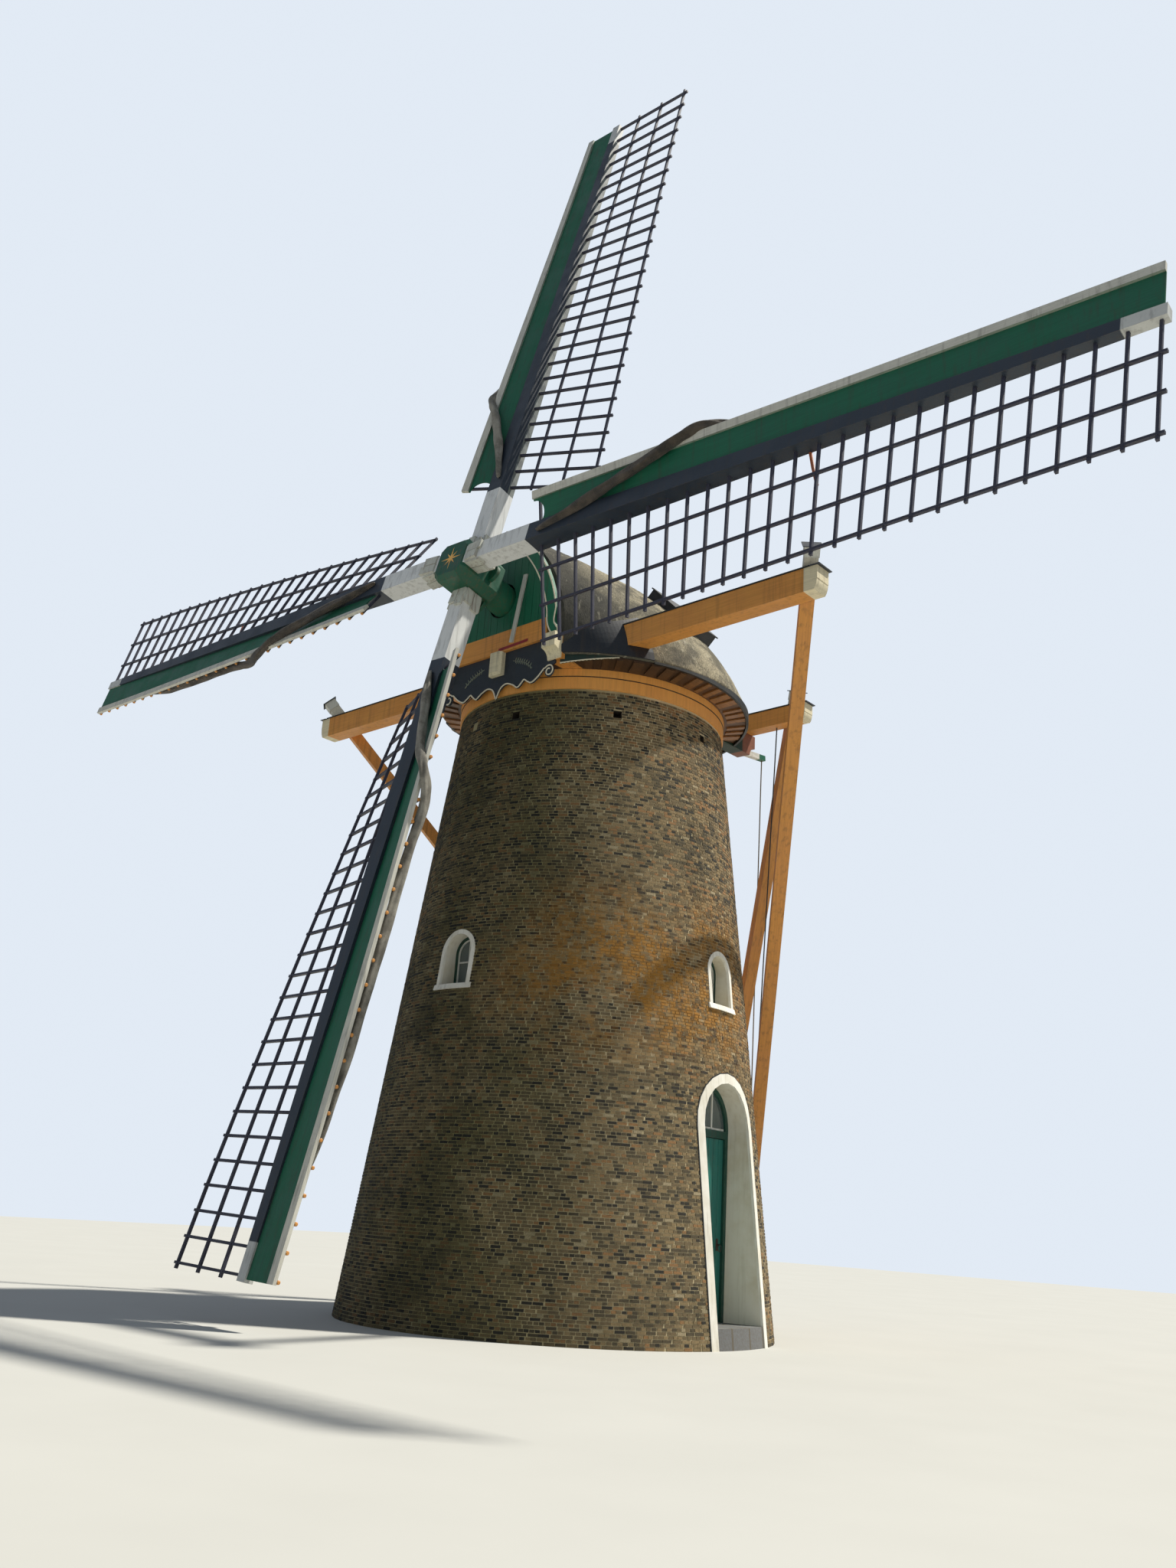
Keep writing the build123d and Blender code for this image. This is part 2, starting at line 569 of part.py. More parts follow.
def make_cap_frame():
    """Sheers, weather beam, cross-beams and the bearings; returns what the thatch is cut round."""
    sheer_cut = []
    for side in (-1, 1):
        x = side * SHEER_SPACING
        half = SHEER_WIDTH / 2
        sheer = block(x - half, x + half, SHEER_FRONT, SHEER_REAR, SHEER_BOTTOM + SEAT, SHEER_TOP)
        for y in (SHEER_FRONT, SHEER_REAR):
            scoop = Pos(x, y, SHEER_BOTTOM) * Rot(0, 90, 0) * Cylinder(170, SHEER_WIDTH + 10)
            sheer = sheer - scoop
        sheer_cut.append(sheer)
    save("sheers", Compound(children=[s for p in sheer_cut for s in p.solids()]))
    sheers_room = [block(s * SHEER_SPACING - SHEER_WIDTH / 2 - SEAT, s * SHEER_SPACING + SHEER_WIDTH / 2 + SEAT,
                         SHEER_FRONT - SEAT, SHEER_REAR + SEAT, SHEER_BOTTOM, SHEER_TOP + SEAT) for s in (-1, 1)]

    beam_top = SHEER_TOP + WEATHER_BEAM_HEIGHT
    beam_rear = WEATHER_BEAM_FRONT + WEATHER_BEAM_DEPTH
    weather = block(-WEATHER_BEAM_HALF, WEATHER_BEAM_HALF, WEATHER_BEAM_FRONT, beam_rear, SHEER_TOP + SEAT, beam_top)
    weather_room = block(-WEATHER_BEAM_HALF - SEAT, WEATHER_BEAM_HALF + SEAT, WEATHER_BEAM_FRONT - SEAT,
                         beam_rear + SEAT, SHEER_TOP, beam_top + SEAT)
    middle = block(-150, 150, WEATHER_BEAM_FRONT - 70, beam_rear, SHEER_BOTTOM, SHEER_TOP + SEAT)
    nose = middle.faces().sort_by(Axis.Y)[0].edges()
    middle = chamfer(nose.filter_by(Axis.Z) + nose.sort_by(Axis.Z)[:1], 45)
    save("weather_beam", weather + middle)

    seat_y = WEATHER_BEAM_FRONT + WEATHER_BEAM_DEPTH / 2
    bearing = block(-380, 380, seat_y - 130, seat_y + 130, beam_top + SEAT, shaft_point(seat_y))
    save("neck_bearing", bearing - shaft_cylinder(NECK_RADIUS + 1.0))

    tail_top = shaft_point(TAIL_BEAM_Y) - SHAFT_TAIL_RADIUS / math.cos(math.radians(SHAFT_TILT))
    tail_half = SHEER_SPACING - SHEER_WIDTH / 2 - SEAT
    tail = block(-tail_half, tail_half, TAIL_BEAM_Y - TAIL_BEAM_WIDTH / 2, TAIL_BEAM_Y + TAIL_BEAM_WIDTH / 2,
                 tail_top - TAIL_BEAM_HEIGHT, tail_top + 60)
    save("tail_beam", tail - shaft_cylinder(SHAFT_TAIL_RADIUS + 1.0))

    long_beam = beam_end(LONG_BEAM_HALF, LONG_BEAM_Y, LONG_BEAM_Z, LONG_BEAM_WIDTH, LONG_BEAM_HEIGHT)
    for room in sheers_room:
        long_beam = long_beam - room
    save("long_beam", long_beam)
    short_beam = beam_end(SHORT_BEAM_HALF, SHORT_BEAM_Y, SHORT_BEAM_Z, SHORT_BEAM_WIDTH, SHORT_BEAM_HEIGHT)
    for room in sheers_room:
        short_beam = short_beam - room
    save("short_beam", short_beam)
    beard_room = block(-BEARD_HALF - SEAT, BEARD_HALF + SEAT, -FAR, BEARD_Y + BEARD_BOARD / 2 + SEAT, 0, SHEER_TOP)
    rooms = sheers_room + [weather_room, beard_room, lever_room(), pole_timber(SEAT)]
    plates = []
    for half, y, z, width, height in ((LONG_BEAM_HALF, LONG_BEAM_Y, LONG_BEAM_Z, LONG_BEAM_WIDTH, LONG_BEAM_HEIGHT),
                                      (SHORT_BEAM_HALF, SHORT_BEAM_Y, SHORT_BEAM_Z, SHORT_BEAM_WIDTH,
                                       SHORT_BEAM_HEIGHT)):
        rooms.append(block(-half, half, y - width / 2 - SEAT, y + width / 2 + SEAT, z - height / 2 - SEAT,
                           z + height / 2 + SEAT))
        top = z + height / 2 + SEAT
        for side in (-1, 1):
            ends = sorted((side * (half - 0.3 * height), side * (half + 50)))
            plates.append(block(*ends, y - width / 2 - 25, y + width / 2 + 25, top, top + LEAD_PLATE))
    return rooms, long_beam, short_beam, plates


def make_cap_skirt():
    """The turning ring, the sloping soffit under the eave and the beard board."""
    save("cap_ring", ring(CAP_RING_INNER, CAP_RING_OUTER, CAP_RING_BOTTOM, SHEER_BOTTOM - CAP_RING_BOTTOM))
    inner = CAP_RING_OUTER + SEAT
    outer = EAVE_RADIUS - 40
    profile = Plane.XZ * Polygon((inner, EAVE_Z - SOFFIT_DROP - SOFFIT), (outer, EAVE_Z - SOFFIT - SEAT),
                                 (outer, EAVE_Z - SEAT), (inner, EAVE_Z - SOFFIT_DROP), align=None)
    soffit = revolve(profile, Axis.Z)
    soffit = soffit - block(-FAR, FAR, -FAR, BEARD_Y + BEARD_BOARD / 2 + SEAT, 0, FAR) - lever_room()
    for side in (-1, 1):
        x = side * SHEER_SPACING
        soffit = soffit - block(x - SHEER_WIDTH / 2 - SEAT, x + SHEER_WIDTH / 2 + SEAT, -FAR, FAR,
                                SHEER_BOTTOM, SHEER_TOP)
    save("eave_soffit", soffit)
    make_beard()


def make_beard():
    """The carved board below the weather beam: waves that rise from the middle to a scroll at each end."""
    top = SHEER_TOP
    middle = (0, top - 873)
    shoulder = (1150, top - 549)
    corner = (BEARD_HALF, top - 494)
    waves = Spline(middle, (95, top - 690), (230, top - 630), (390, top - 685), (510, top - 762), (600, top - 705),
                   (665, top - 651), (760, top - 710), (850, top - 746), (985, top - 680), shoulder)
    half = make_face([waves.edge(), Line(shoulder, corner).edge(), Line(corner, (BEARD_HALF, top)).edge(),
                      Line((BEARD_HALF, top), (0, top)).edge(), Line((0, top), middle).edge()])
    half = half + Pos(shoulder[0] + BEARD_SCROLL, shoulder[1] - 0.6 * BEARD_SCROLL) * Circle(BEARD_SCROLL)
    outline = both_sides(half)
    board = Pos(0, BEARD_Y, 0) * extrude(Plane.XZ * outline, BEARD_BOARD / 2, both=True)
    for x, half_width, foot in ((-SHEER_SPACING, SHEER_WIDTH / 2, SHEER_BOTTOM),
                                (SHEER_SPACING, SHEER_WIDTH / 2, SHEER_BOTTOM), (0, 150, SHEER_BOTTOM - SEAT)):
        board = board - block(x - half_width - SEAT, x + half_width + SEAT, -FAR, FAR, foot, FAR)
    save("beard_board", max(board.solids(), key=lambda s: s.volume))


POLE_TOP = Vector(0, SHORT_BEAM_Y, SHORT_BEAM_Z - SHORT_BEAM_HEIGHT / 2)
POLE_FOOT = Vector(0, TAIL_FOOT_Y, TAIL_FOOT_Z)


def pole_timber(grow=0.0, below=TAIL_POLE_BELOW):
    """The tail pole's timber, carried on past the beam that it hangs from."""
    along = (POLE_FOOT - POLE_TOP).normalized()
    return timber(POLE_TOP - along * 400, POLE_FOOT + along * below, TAIL_POLE_WIDTH + 2 * grow,
                  TAIL_POLE_WIDTH + 2 * grow)


def lever_room():
    """The way that the brake lever needs through the thatch and the soffit."""
    inner_y = TAIL_BEAM_Y + TAIL_BEAM_WIDTH / 2
    size = LEVER_SIZE + 2 * SEAT
    start = (LEVER_X, inner_y, LEVER_END_Z - (LEVER_END_Y - inner_y) * LEVER_SLOPE)
    return timber(start, (LEVER_X, LEVER_END_Y, LEVER_END_Z), size, size)


def pole_point(z):
    """The tail pole's axis at a height."""
    return POLE_TOP + (POLE_FOOT - POLE_TOP) * ((z - POLE_TOP.Z) / (POLE_FOOT.Z - POLE_TOP.Z))


def rope(top, bottom):
    """A taut rope between two points."""
    line = bottom - top
    return Plane(origin=top, z_dir=line.normalized()) * Cylinder(
        ROPE_DIAMETER / 2, line.length, align=(Align.CENTER, Align.CENTER, Align.MIN))


def make_tail(long_beam, short_beam, plates):
    """The tail pole, two pairs of braces with their covers, the brake lever and the ropes."""
    half = TAIL_POLE_WIDTH / 2
    pole_top = POLE_TOP
    foot = POLE_FOOT
    save("tail_pole", pole_timber() - block(-FAR, FAR, -FAR, FAR, pole_top.Z - SEAT, FAR))

    pole_room = pole_timber(SEAT, TAIL_POLE_BELOW + 500)
    behind_long = LONG_BEAM_Y + LONG_BEAM_WIDTH / 2 + BRACE_WIDTH * 0.55
    behind_short = SHORT_BEAM_Y + SHORT_BEAM_WIDTH / 2 + BRACE_WIDTH * 0.55
    short_foot = pole_point(SHORT_BRACE_FOOT)
    sets = (("long_braces", LONG_BRACE_X, behind_long, LONG_BEAM_Z, LONG_BRACE_ABOVE, foot, long_beam),
            ("short_braces", SHORT_BRACE_X, behind_short, SHORT_BEAM_Z, SHORT_BRACE_ABOVE, short_foot, short_beam))
    boxes = []
    for name, x, y, z, above, end, beam in sets:
        pair = []
        for side in (-1, 1):
            at_beam = Vector(side * x, y, z)
            line = (at_beam - end).normalized()
            head = at_beam + line * above
            brace = timber(end, head, BRACE_WIDTH, BRACE_WIDTH)
            keep = block(*sorted((side * (half + SEAT), side * FAR)), -FAR, FAR, 0, FAR)
            brace = (brace & keep) - pole_room
            brace = brace - beam
            pair.append(max(brace.solids(), key=lambda s: s.volume))
            box = timber(head + line * SEAT, head + line * BRACE_BOX, BRACE_WIDTH + 20, BRACE_WIDTH + 20)
            plate = timber(head + line * BRACE_BOX, head + line * (BRACE_BOX + LEAD_PLATE), BRACE_WIDTH + 90,
                           BRACE_WIDTH + 90)
            boxes += [box, plate.moved(Location(line * SEAT))]
        save(name, Compound(children=pair))
    save("brace_tops", Compound(children=[s for b in boxes[0::2] for s in b.solids()]))
    save("lead_plates", Compound(children=[s for b in plates + boxes[1::2] for s in b.solids()]))

    inner_y = TAIL_BEAM_Y + TAIL_BEAM_WIDTH / 2 + SEAT
    inner_z = LEVER_END_Z - (LEVER_END_Y - inner_y) * LEVER_SLOPE
    lever = timber((LEVER_X, inner_y - 200, inner_z - 200 * LEVER_SLOPE), (LEVER_X, LEVER_END_Y, LEVER_END_Z),
                   LEVER_SIZE, LEVER_SIZE)
    lever = lever - block(-FAR, FAR, -FAR, inner_y, 0, FAR)
    save("brake_lever", lever)

    lever_end = Vector(LEVER_X, LEVER_END_Y - 60, LEVER_END_Z - LEVER_SIZE / 2 - 60 * LEVER_SLOPE - 2)
    beside_pole = Vector(half + ROPE_DIAMETER / 2 + SEAT, 0, 0)
    save("brake_rope", rope(lever_end, pole_point(ROPE_TIE) + beside_pole + Vector(0, 40, 0)))
    under_beam = Vector(TAIL_LINE_X, SHORT_BEAM_Y + 20, SHORT_BEAM_Z - SHORT_BEAM_HEIGHT / 2 - 4)
    save("tail_line", rope(under_beam, pole_point(TAIL_LINE_TIE) + beside_pole))


def twist(r):
    """How far the sail's surface is turned from the plane of rotation, in degrees."""
    share = max(0.0, (SAIL_RADIUS - r) / (SAIL_RADIUS - FIRST_BAR))
    return TWIST_TIP + (TWIST_ROOT - TWIST_TIP) * share ** TWIST_CURVE


def sail_frame(r, across=0.0, depth=0.0):
    """A plane on the sail's surface: x along the stock, y to the leading edge, z forward."""
    b = math.radians(twist(r))
    chord = Vector(0, math.cos(b), math.sin(b))
    normal = Vector(0, -math.sin(b), math.cos(b))
    return Plane(origin=Vector(r, 0, 0) + chord * across + normal * depth, x_dir=(1, 0, 0), z_dir=normal)


def section(r, across0, across1, depth0, depth1):
    """A rectangle across the sail at one radius, for lofting along the stock."""
    b = math.radians(twist(r))
    chord = Vector(0, math.cos(b), math.sin(b))
    normal = Vector(0, -math.sin(b), math.cos(b))
    centre = Vector(r, 0, 0) + chord * ((across0 + across1) / 2) + normal * ((depth0 + depth1) / 2)
    plane = Plane(origin=centre, x_dir=chord, z_dir=(1, 0, 0))
    return plane * Rectangle(across1 - across0, depth1 - depth0)


def stock_half_width(r):
    """Half the stock's width at a radius."""
    share = max(0.0, (abs(r) - STOCK_STRAIGHT) / (SAIL_RADIUS - STOCK_STRAIGHT))
    return (STOCK_HUB_WIDTH + (STOCK_TIP_WIDTH - STOCK_HUB_WIDTH) * share) / 2


def cross_bars(grow=0.0):
    """The bars that pass through a stock, straight and each a little more turned than the next."""
    length = LEADING_WIDTH + TRAILING_WIDTH + BAR_BEYOND
    middle = (LEADING_WIDTH - TRAILING_WIDTH - BAR_BEYOND) / 2
    for i in range(BAR_COUNT):
        r = FIRST_BAR + i * BAR_PITCH
        yield sail_frame(r) * Pos(0, middle, 0) * Box(BAR_WIDTH + grow, length, BAR_DEPTH + grow)


def make_stock_shape():
    """One stock for two sails, with a mortise for every bar."""
    stations = (-SAIL_RADIUS, -STOCK_STRAIGHT, STOCK_STRAIGHT, SAIL_RADIUS)
    sections = []
    for r in stations:
        tip = abs(r) > STOCK_STRAIGHT
        width = STOCK_TIP_WIDTH if tip else STOCK_HUB_WIDTH
        depth = STOCK_TIP_DEPTH if tip else STOCK_HUB_DEPTH
        plane = Plane(origin=(r, 0, 0), x_dir=(0, 1, 0), z_dir=(1, 0, 0))
        sections.append(plane * Rectangle(width, depth))
    stock = loft(sections, ruled=True)
    mortises = list(cross_bars(2 * SEAT))
    mortises += [Rot(0, 0, 180) * bar for bar in mortises]
    return stock.cut(*mortises)


def make_lattice_shape():
    """Cross-bars joined by three long bars."""
    stations = [FIRST_BAR - 60 + (SAIL_RADIUS - FIRST_BAR + 60) * i / 8 for i in range(9)]
    bars = list(cross_bars())
    for share in (1 / 3, 2 / 3, 1.0):
        a = -TRAILING_WIDTH * share
        bars.append(loft([section(r, a - BAR_WIDTH / 2, a + BAR_WIDTH / 2, -BAR_DEPTH / 2 + 8, BAR_DEPTH / 2 + 8)
                          for r in stations], ruled=True))
    return bars[-1].fuse(*bars[:-1])


def make_board_shape():
    """The leading board with its edge strip, cut to a curve at the hub end."""
    count = 8
    under = BAR_DEPTH / 2 + 1.5
    sections, strips = [], []
    for i in range(count + 1):
        r = BOARD_START + (BOARD_END - BOARD_START) * i / count
        b = math.radians(twist(r))
        near = (stock_half_width(r) + 3 + (under + BOARD_THICKNESS) * math.sin(b)) / math.cos(b)
        sections.append(section(r, near, LEADING_WIDTH - EDGE_STRIP_WIDTH / 2, under, under + BOARD_THICKNESS))
        strips.append(section(r, LEADING_WIDTH - EDGE_STRIP_WIDTH, LEADING_WIDTH, under,
                              under + EDGE_STRIP_DEPTH))
    board = loft(sections, ruled=True) + loft(strips, ruled=True)
    radius = 230.0
    scoop = sail_frame(BOARD_START, STOCK_HUB_WIDTH / 2 + radius * 0.9) * Cylinder(radius, 400)
    board = board - scoop
    return max(board.solids(), key=lambda s: s.volume)


def make_cloth_shape():
    """The furled cloth, rolled up behind the leading board."""
    radius = CLOTH_ROLL / 2
    a = LEADING_WIDTH - 120
    depth = -(BAR_DEPTH / 2 + radius + CLOTH_CLEAR)
    stations = [CLOTH_START + (CLOTH_END - CLOTH_START) * i / 5 for i in range(6)]
    sections = []
    for r in stations:
        b = math.radians(twist(r))
        chord = Vector(0, math.cos(b), math.sin(b))
        normal = Vector(0, -math.sin(b), math.cos(b))
        centre = Vector(r, 0, 0) + chord * a + normal * depth
        sections.append(Plane(origin=centre, x_dir=chord, z_dir=(1, 0, 0)) * RegularPolygon(radius, 8))
    return loft(sections, ruled=True)


SAILS = {"right": (0, 1), "top": (90, -1), "left": (180, 1), "bottom": (270, -1)}


def make_sails():
    """Two stocks that cross in the hub, and on each arm its lattice, board and furled cloth."""
    stock = make_stock_shape()
    lattice = make_lattice_shape()
    board = make_board_shape()
    cloth = make_cloth_shape()
    for name, turn, side in (("outer_stock", 0, 1), ("inner_stock", 90, -1)):
        place = HUB * Pos(0, 0, side * STOCK_OFFSET) * Rot(0, 0, SAILS_TURNED + turn)
        save(name, place * stock)
        pair = [place * Rot(0, 0, half) * board for half in (0, 180)]
        save(name.replace("stock", "boards"), Compound(children=pair))
    for name, (turn, side) in SAILS.items():
        place = HUB * Pos(0, 0, side * STOCK_OFFSET) * Rot(0, 0, SAILS_TURNED + turn)
        save(f"{name}_lattice", place * lattice)
        save(f"{name}_cloth", place * cloth)


def make_wedges():
    """Wooden wedges, two side by side on each face of a stock where it leaves the poll end."""
    start = POLL_WIDTH / 2 + SEAT
    wedges = []
    for across, size in ((STOCK_HUB_WIDTH, STOCK_HUB_DEPTH), (STOCK_HUB_DEPTH, STOCK_HUB_WIDTH)):
        face = across / 2 + SEAT
        for number, length in ((-1, WEDGE_LENGTH), (1, 0.8 * WEDGE_LENGTH)):
            side = Polygon((start, face), (start + length, face), (start + length, face + WEDGE_THICK),
                           (start, face + WEDGE_THIN), align=None)
            width = size / 2 - 12
            wedge = Pos(0, 0, number * size / 4) * extrude(side, width / 2, both=True)
            wedges.append(wedge if across == STOCK_HUB_WIDTH else Rot(90, 0, 0) * wedge)
            wedges.append(Rot(180, 0, 0) * wedges[-1])
    placed = []
    for turn, offset_side in ((0, 1), (90, -1), (180, 1), (270, -1)):
        place = HUB * Pos(0, 0, offset_side * STOCK_OFFSET) * Rot(0, 0, SAILS_TURNED + turn)
        placed += [place * wedge for wedge in wedges]
    save("poll_wedges", Compound(children=[s for w in placed for s in w.solids()]))


def make_hub():
    """The iron poll end with its two boxes for the stocks, and the shaft behind it."""
    turned = HUB * Rot(0, 0, SAILS_TURNED)
    length = POLL_FRONT - POLL_REAR
    corner = 150.0
    octagon = Rectangle(POLL_WIDTH, POLL_WIDTH)
    octagon = chamfer(octagon.vertices(), corner)
    poll = Pos(0, 0, POLL_REAR) * extrude(octagon, length)
    poll = chamfer(poll.faces().sort_by(Axis.Z)[-1].edges(), POLL_CHAMFER)
    for turn, axial in ((0, -STOCK_OFFSET - 70), (90, -STOCK_OFFSET - 290)):
        for half in (0, 180):
            lug = Pos(POLL_WIDTH / 2, 0, axial) * Cylinder(POLL_LUG, 70)
            poll = poll + Rot(0, 0, turn + half) * lug
    outer = Pos(0, 0, STOCK_OFFSET) * Box(FAR, STOCK_HUB_WIDTH + 2 * SEAT, STOCK_HUB_DEPTH + 2 * SEAT)
    inner = Pos(0, 0, -STOCK_OFFSET) * Box(STOCK_HUB_WIDTH + 2 * SEAT, FAR, STOCK_HUB_DEPTH + 2 * SEAT)
    save("poll_end", turned * (poll - outer - inner))
    make_wedges()
    tail_y = TAIL_BEAM_Y + TAIL_BEAM_WIDTH / 2 + 120
    neck = 2200.0
    rear = (HUB_Y - tail_y) / math.cos(math.radians(SHAFT_TILT))
    shaft = Pos(0, 0, POLL_REAR - SEAT - neck) * Cylinder(
        NECK_RADIUS, neck, align=(Align.CENTER, Align.CENTER, Align.MIN))
    tail_length = POLL_REAR - SEAT - neck - rear
    shaft = shaft + Pos(0, 0, rear) * Cylinder(SHAFT_TAIL_RADIUS, tail_length,
                                                align=(Align.CENTER, Align.CENTER, Align.MIN))
    save("windshaft", HUB * shaft)


def main():
    make_walls()
    panes = make_windows() + make_doors()
    save("glass", Compound(children=[s for p in panes for s in p.solids()]))
    make_floors()
    save("curb_ring", ring(CURB_INNER, CURB_OUTER, TOWER_HEIGHT + SEAT, CURB_HEIGHT))
    rooms, long_beam, short_beam, plates = make_cap_frame()
    make_cap_skirt()
    make_thatch(rooms + [make_hatch()])
    make_apron(rooms)
    make_front()
    make_edge_boards()
    make_tail(long_beam, short_beam, plates)
    make_hub()
    make_sails()


main()
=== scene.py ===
"""A round brick tower mill: its finishes, bricks, thatch, painted trim and sail cloths."""
import functools
import math
import random

import bmesh
import bpy
import numpy as np
from mathutils import Matrix, Vector, noise


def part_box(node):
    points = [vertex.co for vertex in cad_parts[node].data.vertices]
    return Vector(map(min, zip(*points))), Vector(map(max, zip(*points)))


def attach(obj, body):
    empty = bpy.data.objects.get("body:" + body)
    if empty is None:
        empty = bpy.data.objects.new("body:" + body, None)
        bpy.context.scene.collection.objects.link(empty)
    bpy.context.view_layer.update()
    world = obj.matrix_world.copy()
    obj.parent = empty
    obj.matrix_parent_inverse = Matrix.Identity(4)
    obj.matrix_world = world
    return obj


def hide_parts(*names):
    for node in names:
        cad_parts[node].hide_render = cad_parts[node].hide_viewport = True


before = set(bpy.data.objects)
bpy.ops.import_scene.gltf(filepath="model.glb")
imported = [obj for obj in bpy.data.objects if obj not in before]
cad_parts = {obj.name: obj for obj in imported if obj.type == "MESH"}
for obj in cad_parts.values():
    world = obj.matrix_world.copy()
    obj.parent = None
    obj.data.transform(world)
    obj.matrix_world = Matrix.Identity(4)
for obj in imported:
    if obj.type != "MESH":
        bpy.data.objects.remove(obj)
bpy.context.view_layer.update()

# Tower
FOOT_RADIUS = 3.6
BATTER = 0.111
TOWER_HEIGHT = 10.343
CURB_SEAM = 10.5603
BAYS = {"front": 1.5, "right": 95.5, "rear": 181.5, "left": 275.5}
DOOR_BAYS = ("right", "left")
COURSE = 0.051
JOINT = 0.008
BRICK_LENGTH = 0.155
BRICK_PROUD = 0.008
PUTLOGS = [10 + 42 * i for i in range(9)]
PUTLOG_SIZE = 0.15
PUTLOG_DEEP = 0.24
PUTLOG_Z = 9.9

# Windows and doorways
WINDOW_WIDTH = 0.6
WINDOW_SILL = 5.14
WINDOW_HEIGHT = 0.85
WINDOW_REVEAL = 0.27
WINDOW_FRAME = 0.055
DOORWAY_WIDTH = 1.4
DOORWAY_TOP = 3.91
THRESHOLD = 0.3
DOOR_PLANE = 2.8
DOOR_FRAME = 0.08
DOOR_FRAME_DEPTH = 0.1
LEAF_THICKNESS = 0.05
DOOR_BOARD_HEIGHT = 2.75
LATCH_HEIGHT = 1.45
TRANSOM_TOP = 3.2
WINDOW_BAND = 0.075
DOOR_BAND = 0.15

# Cap
RING_RADIUS = 2.5
RING_TOP = 10.7
EAVE_RADIUS = 2.946
EAVE_Z = 10.8
CAP_FRONT = -2.55
RIDGE_HEIGHT = 2.77
SIDE_ROUNDNESS = 1.42
REAR_DRAWN_IN = 0.9
REAR_CURVE = 0.8
FRONT_DRAWN_OUT = 0.2
THATCH = 0.24
FRONT_BOARD = 0.05
EDGE_WIDTH = 0.24
EDGE_FACE = -2.6603
EDGE_TAIL_TOP = 11.64
HATCH_AZIMUTH = 92.0
HATCH_SHARE = 0.56
HATCH_LENGTH = 1.25
HATCH_WIDTH = 0.8
SHEER_SPACING = 1.37
SHEER_TOP = 11.129
SHEER_CREAM_FROM = -2.56
SHEER_GREEN_FROM = 1.8
SHEER_SHADE_FROM = 2.8
LONG_CREAM_FROM = 5.83
SHORT_CREAM_FROM = 2.74
LONG_WHITE_FROM = 11.42
SHORT_WHITE_FROM = 11.48
LEVER_GREEN_FROM = 3.93
LONG_BRACE_LINE = (5.6, -7.0, 9.8)
SHORT_BRACE_LINE = (2.4, -1.5, 7.0)
POLE_FOOT = Vector((0, 5.499, 1.52))
POLE_HEAD = Vector((0, 3.0, SHEER_TOP))
BEAM_FACE = -2.62
BEAM_TOP = 11.529
BEAM_HALF = 1.18
BEARD_FACE = -2.561
FASCIA_FOOT = 10.625
FASCIA_RISE = 0.145

# Sails
HUB = Vector((0.0, -3.553, 12.366))
SHAFT_TILT = math.radians(11.77)
SAILS_TURNED = math.radians(-2.335)
STOCK_OFFSET = 0.19
SAIL_RADIUS = 12.0
FIRST_BAR = 2.01
BAR_PITCH = 0.381
BAR_COUNT = 27
LEADING = 0.77
TWIST_ROOT = 22.0
TWIST_TIP = 1.0
TWIST_CURVE = 1.3
STRIP_WIDTH = 0.14
STOCK_WHITE_TO = 1.85
STOCK_TIP_FROM = 11.46
STOCK_TAPER = 0.0078
STOCK_HALF_WIDTH = 0.1837
POLL_FRONT = 0.385
SHAFT_HOLE = 0.33

FORWARD = Vector((0, -math.cos(SHAFT_TILT), math.sin(SHAFT_TILT)))
RISE = Vector((0, math.sin(SHAFT_TILT), math.cos(SHAFT_TILT)))
SAIL_AXES = Matrix((Vector((1, 0, 0)), RISE, FORWARD)).transposed().to_4x4()
ARMS = {"right": (0, 1), "top": (90, -1), "left": (180, 1), "bottom": (270, -1)}


# Shader helpers

def linear(red, green, blue):
    """A colour as a paint card shows it, from 0 to 255, in the shader's own scale."""
    parts = [((c / 255 + 0.055) / 1.055) ** 2.4 if c > 10 else c / 3294.6 for c in (red, green, blue)]
    return (*parts, 1.0)


def node(tree, kind, inputs=None, **settings):
    """Adds one shader node, with its settings and with its inputs set or linked."""
    made = tree.nodes.new("ShaderNode" + kind)
    for key, value in settings.items():
        setattr(made, key, value)
    for key, value in (inputs or {}).items():
        if isinstance(value, bpy.types.NodeSocket):
            tree.links.new(value, made.inputs[key])
        else:
            made.inputs[key].default_value = value
    return made


def calc(tree, operation, *values):
    """One step of arithmetic."""
    return node(tree, "Math", dict(enumerate(values)), operation=operation).outputs[0]


def times(tree, first, second):
    """Two values multiplied."""
    return calc(tree, "MULTIPLY", first, second)


def span(tree, value, low, high, to_low=0.0, to_high=1.0):
    """A smooth step from one number to another as a value goes from low to high."""
    inputs = {"Value": value, "From Min": low, "From Max": high, "To Min": to_low, "To Max": to_high}
    return node(tree, "MapRange", inputs, interpolation_type="SMOOTHSTEP").outputs[0]


def over(tree, share, under, upper, mode="MIX"):
    """One colour laid over another by a share."""
    return node(tree, "Mix", {0: share, 6: under, 7: upper}, data_type="RGBA", blend_type=mode).outputs[2]


def grey_of(tree, value):
    """A grey as bright as a value."""
    return node(tree, "CombineColor", {0: value, 1: value, 2: value}).outputs[0]


def mottle(tree, vector, scale, detail=3.0, roughness=0.55):
    """Cloudy noise."""
    inputs = {"Vector": vector, "Scale": scale, "Detail": detail, "Roughness": roughness}
    return node(tree, "TexNoise", inputs).outputs[0]


def stretched(tree, vector, scale, turn=(0, 0, 0)):
    """Coordinates turned, then stretched."""
    inputs = {"Vector": vector, "Scale": scale, "Rotation": turn}
    return node(tree, "Mapping", inputs).outputs[0]


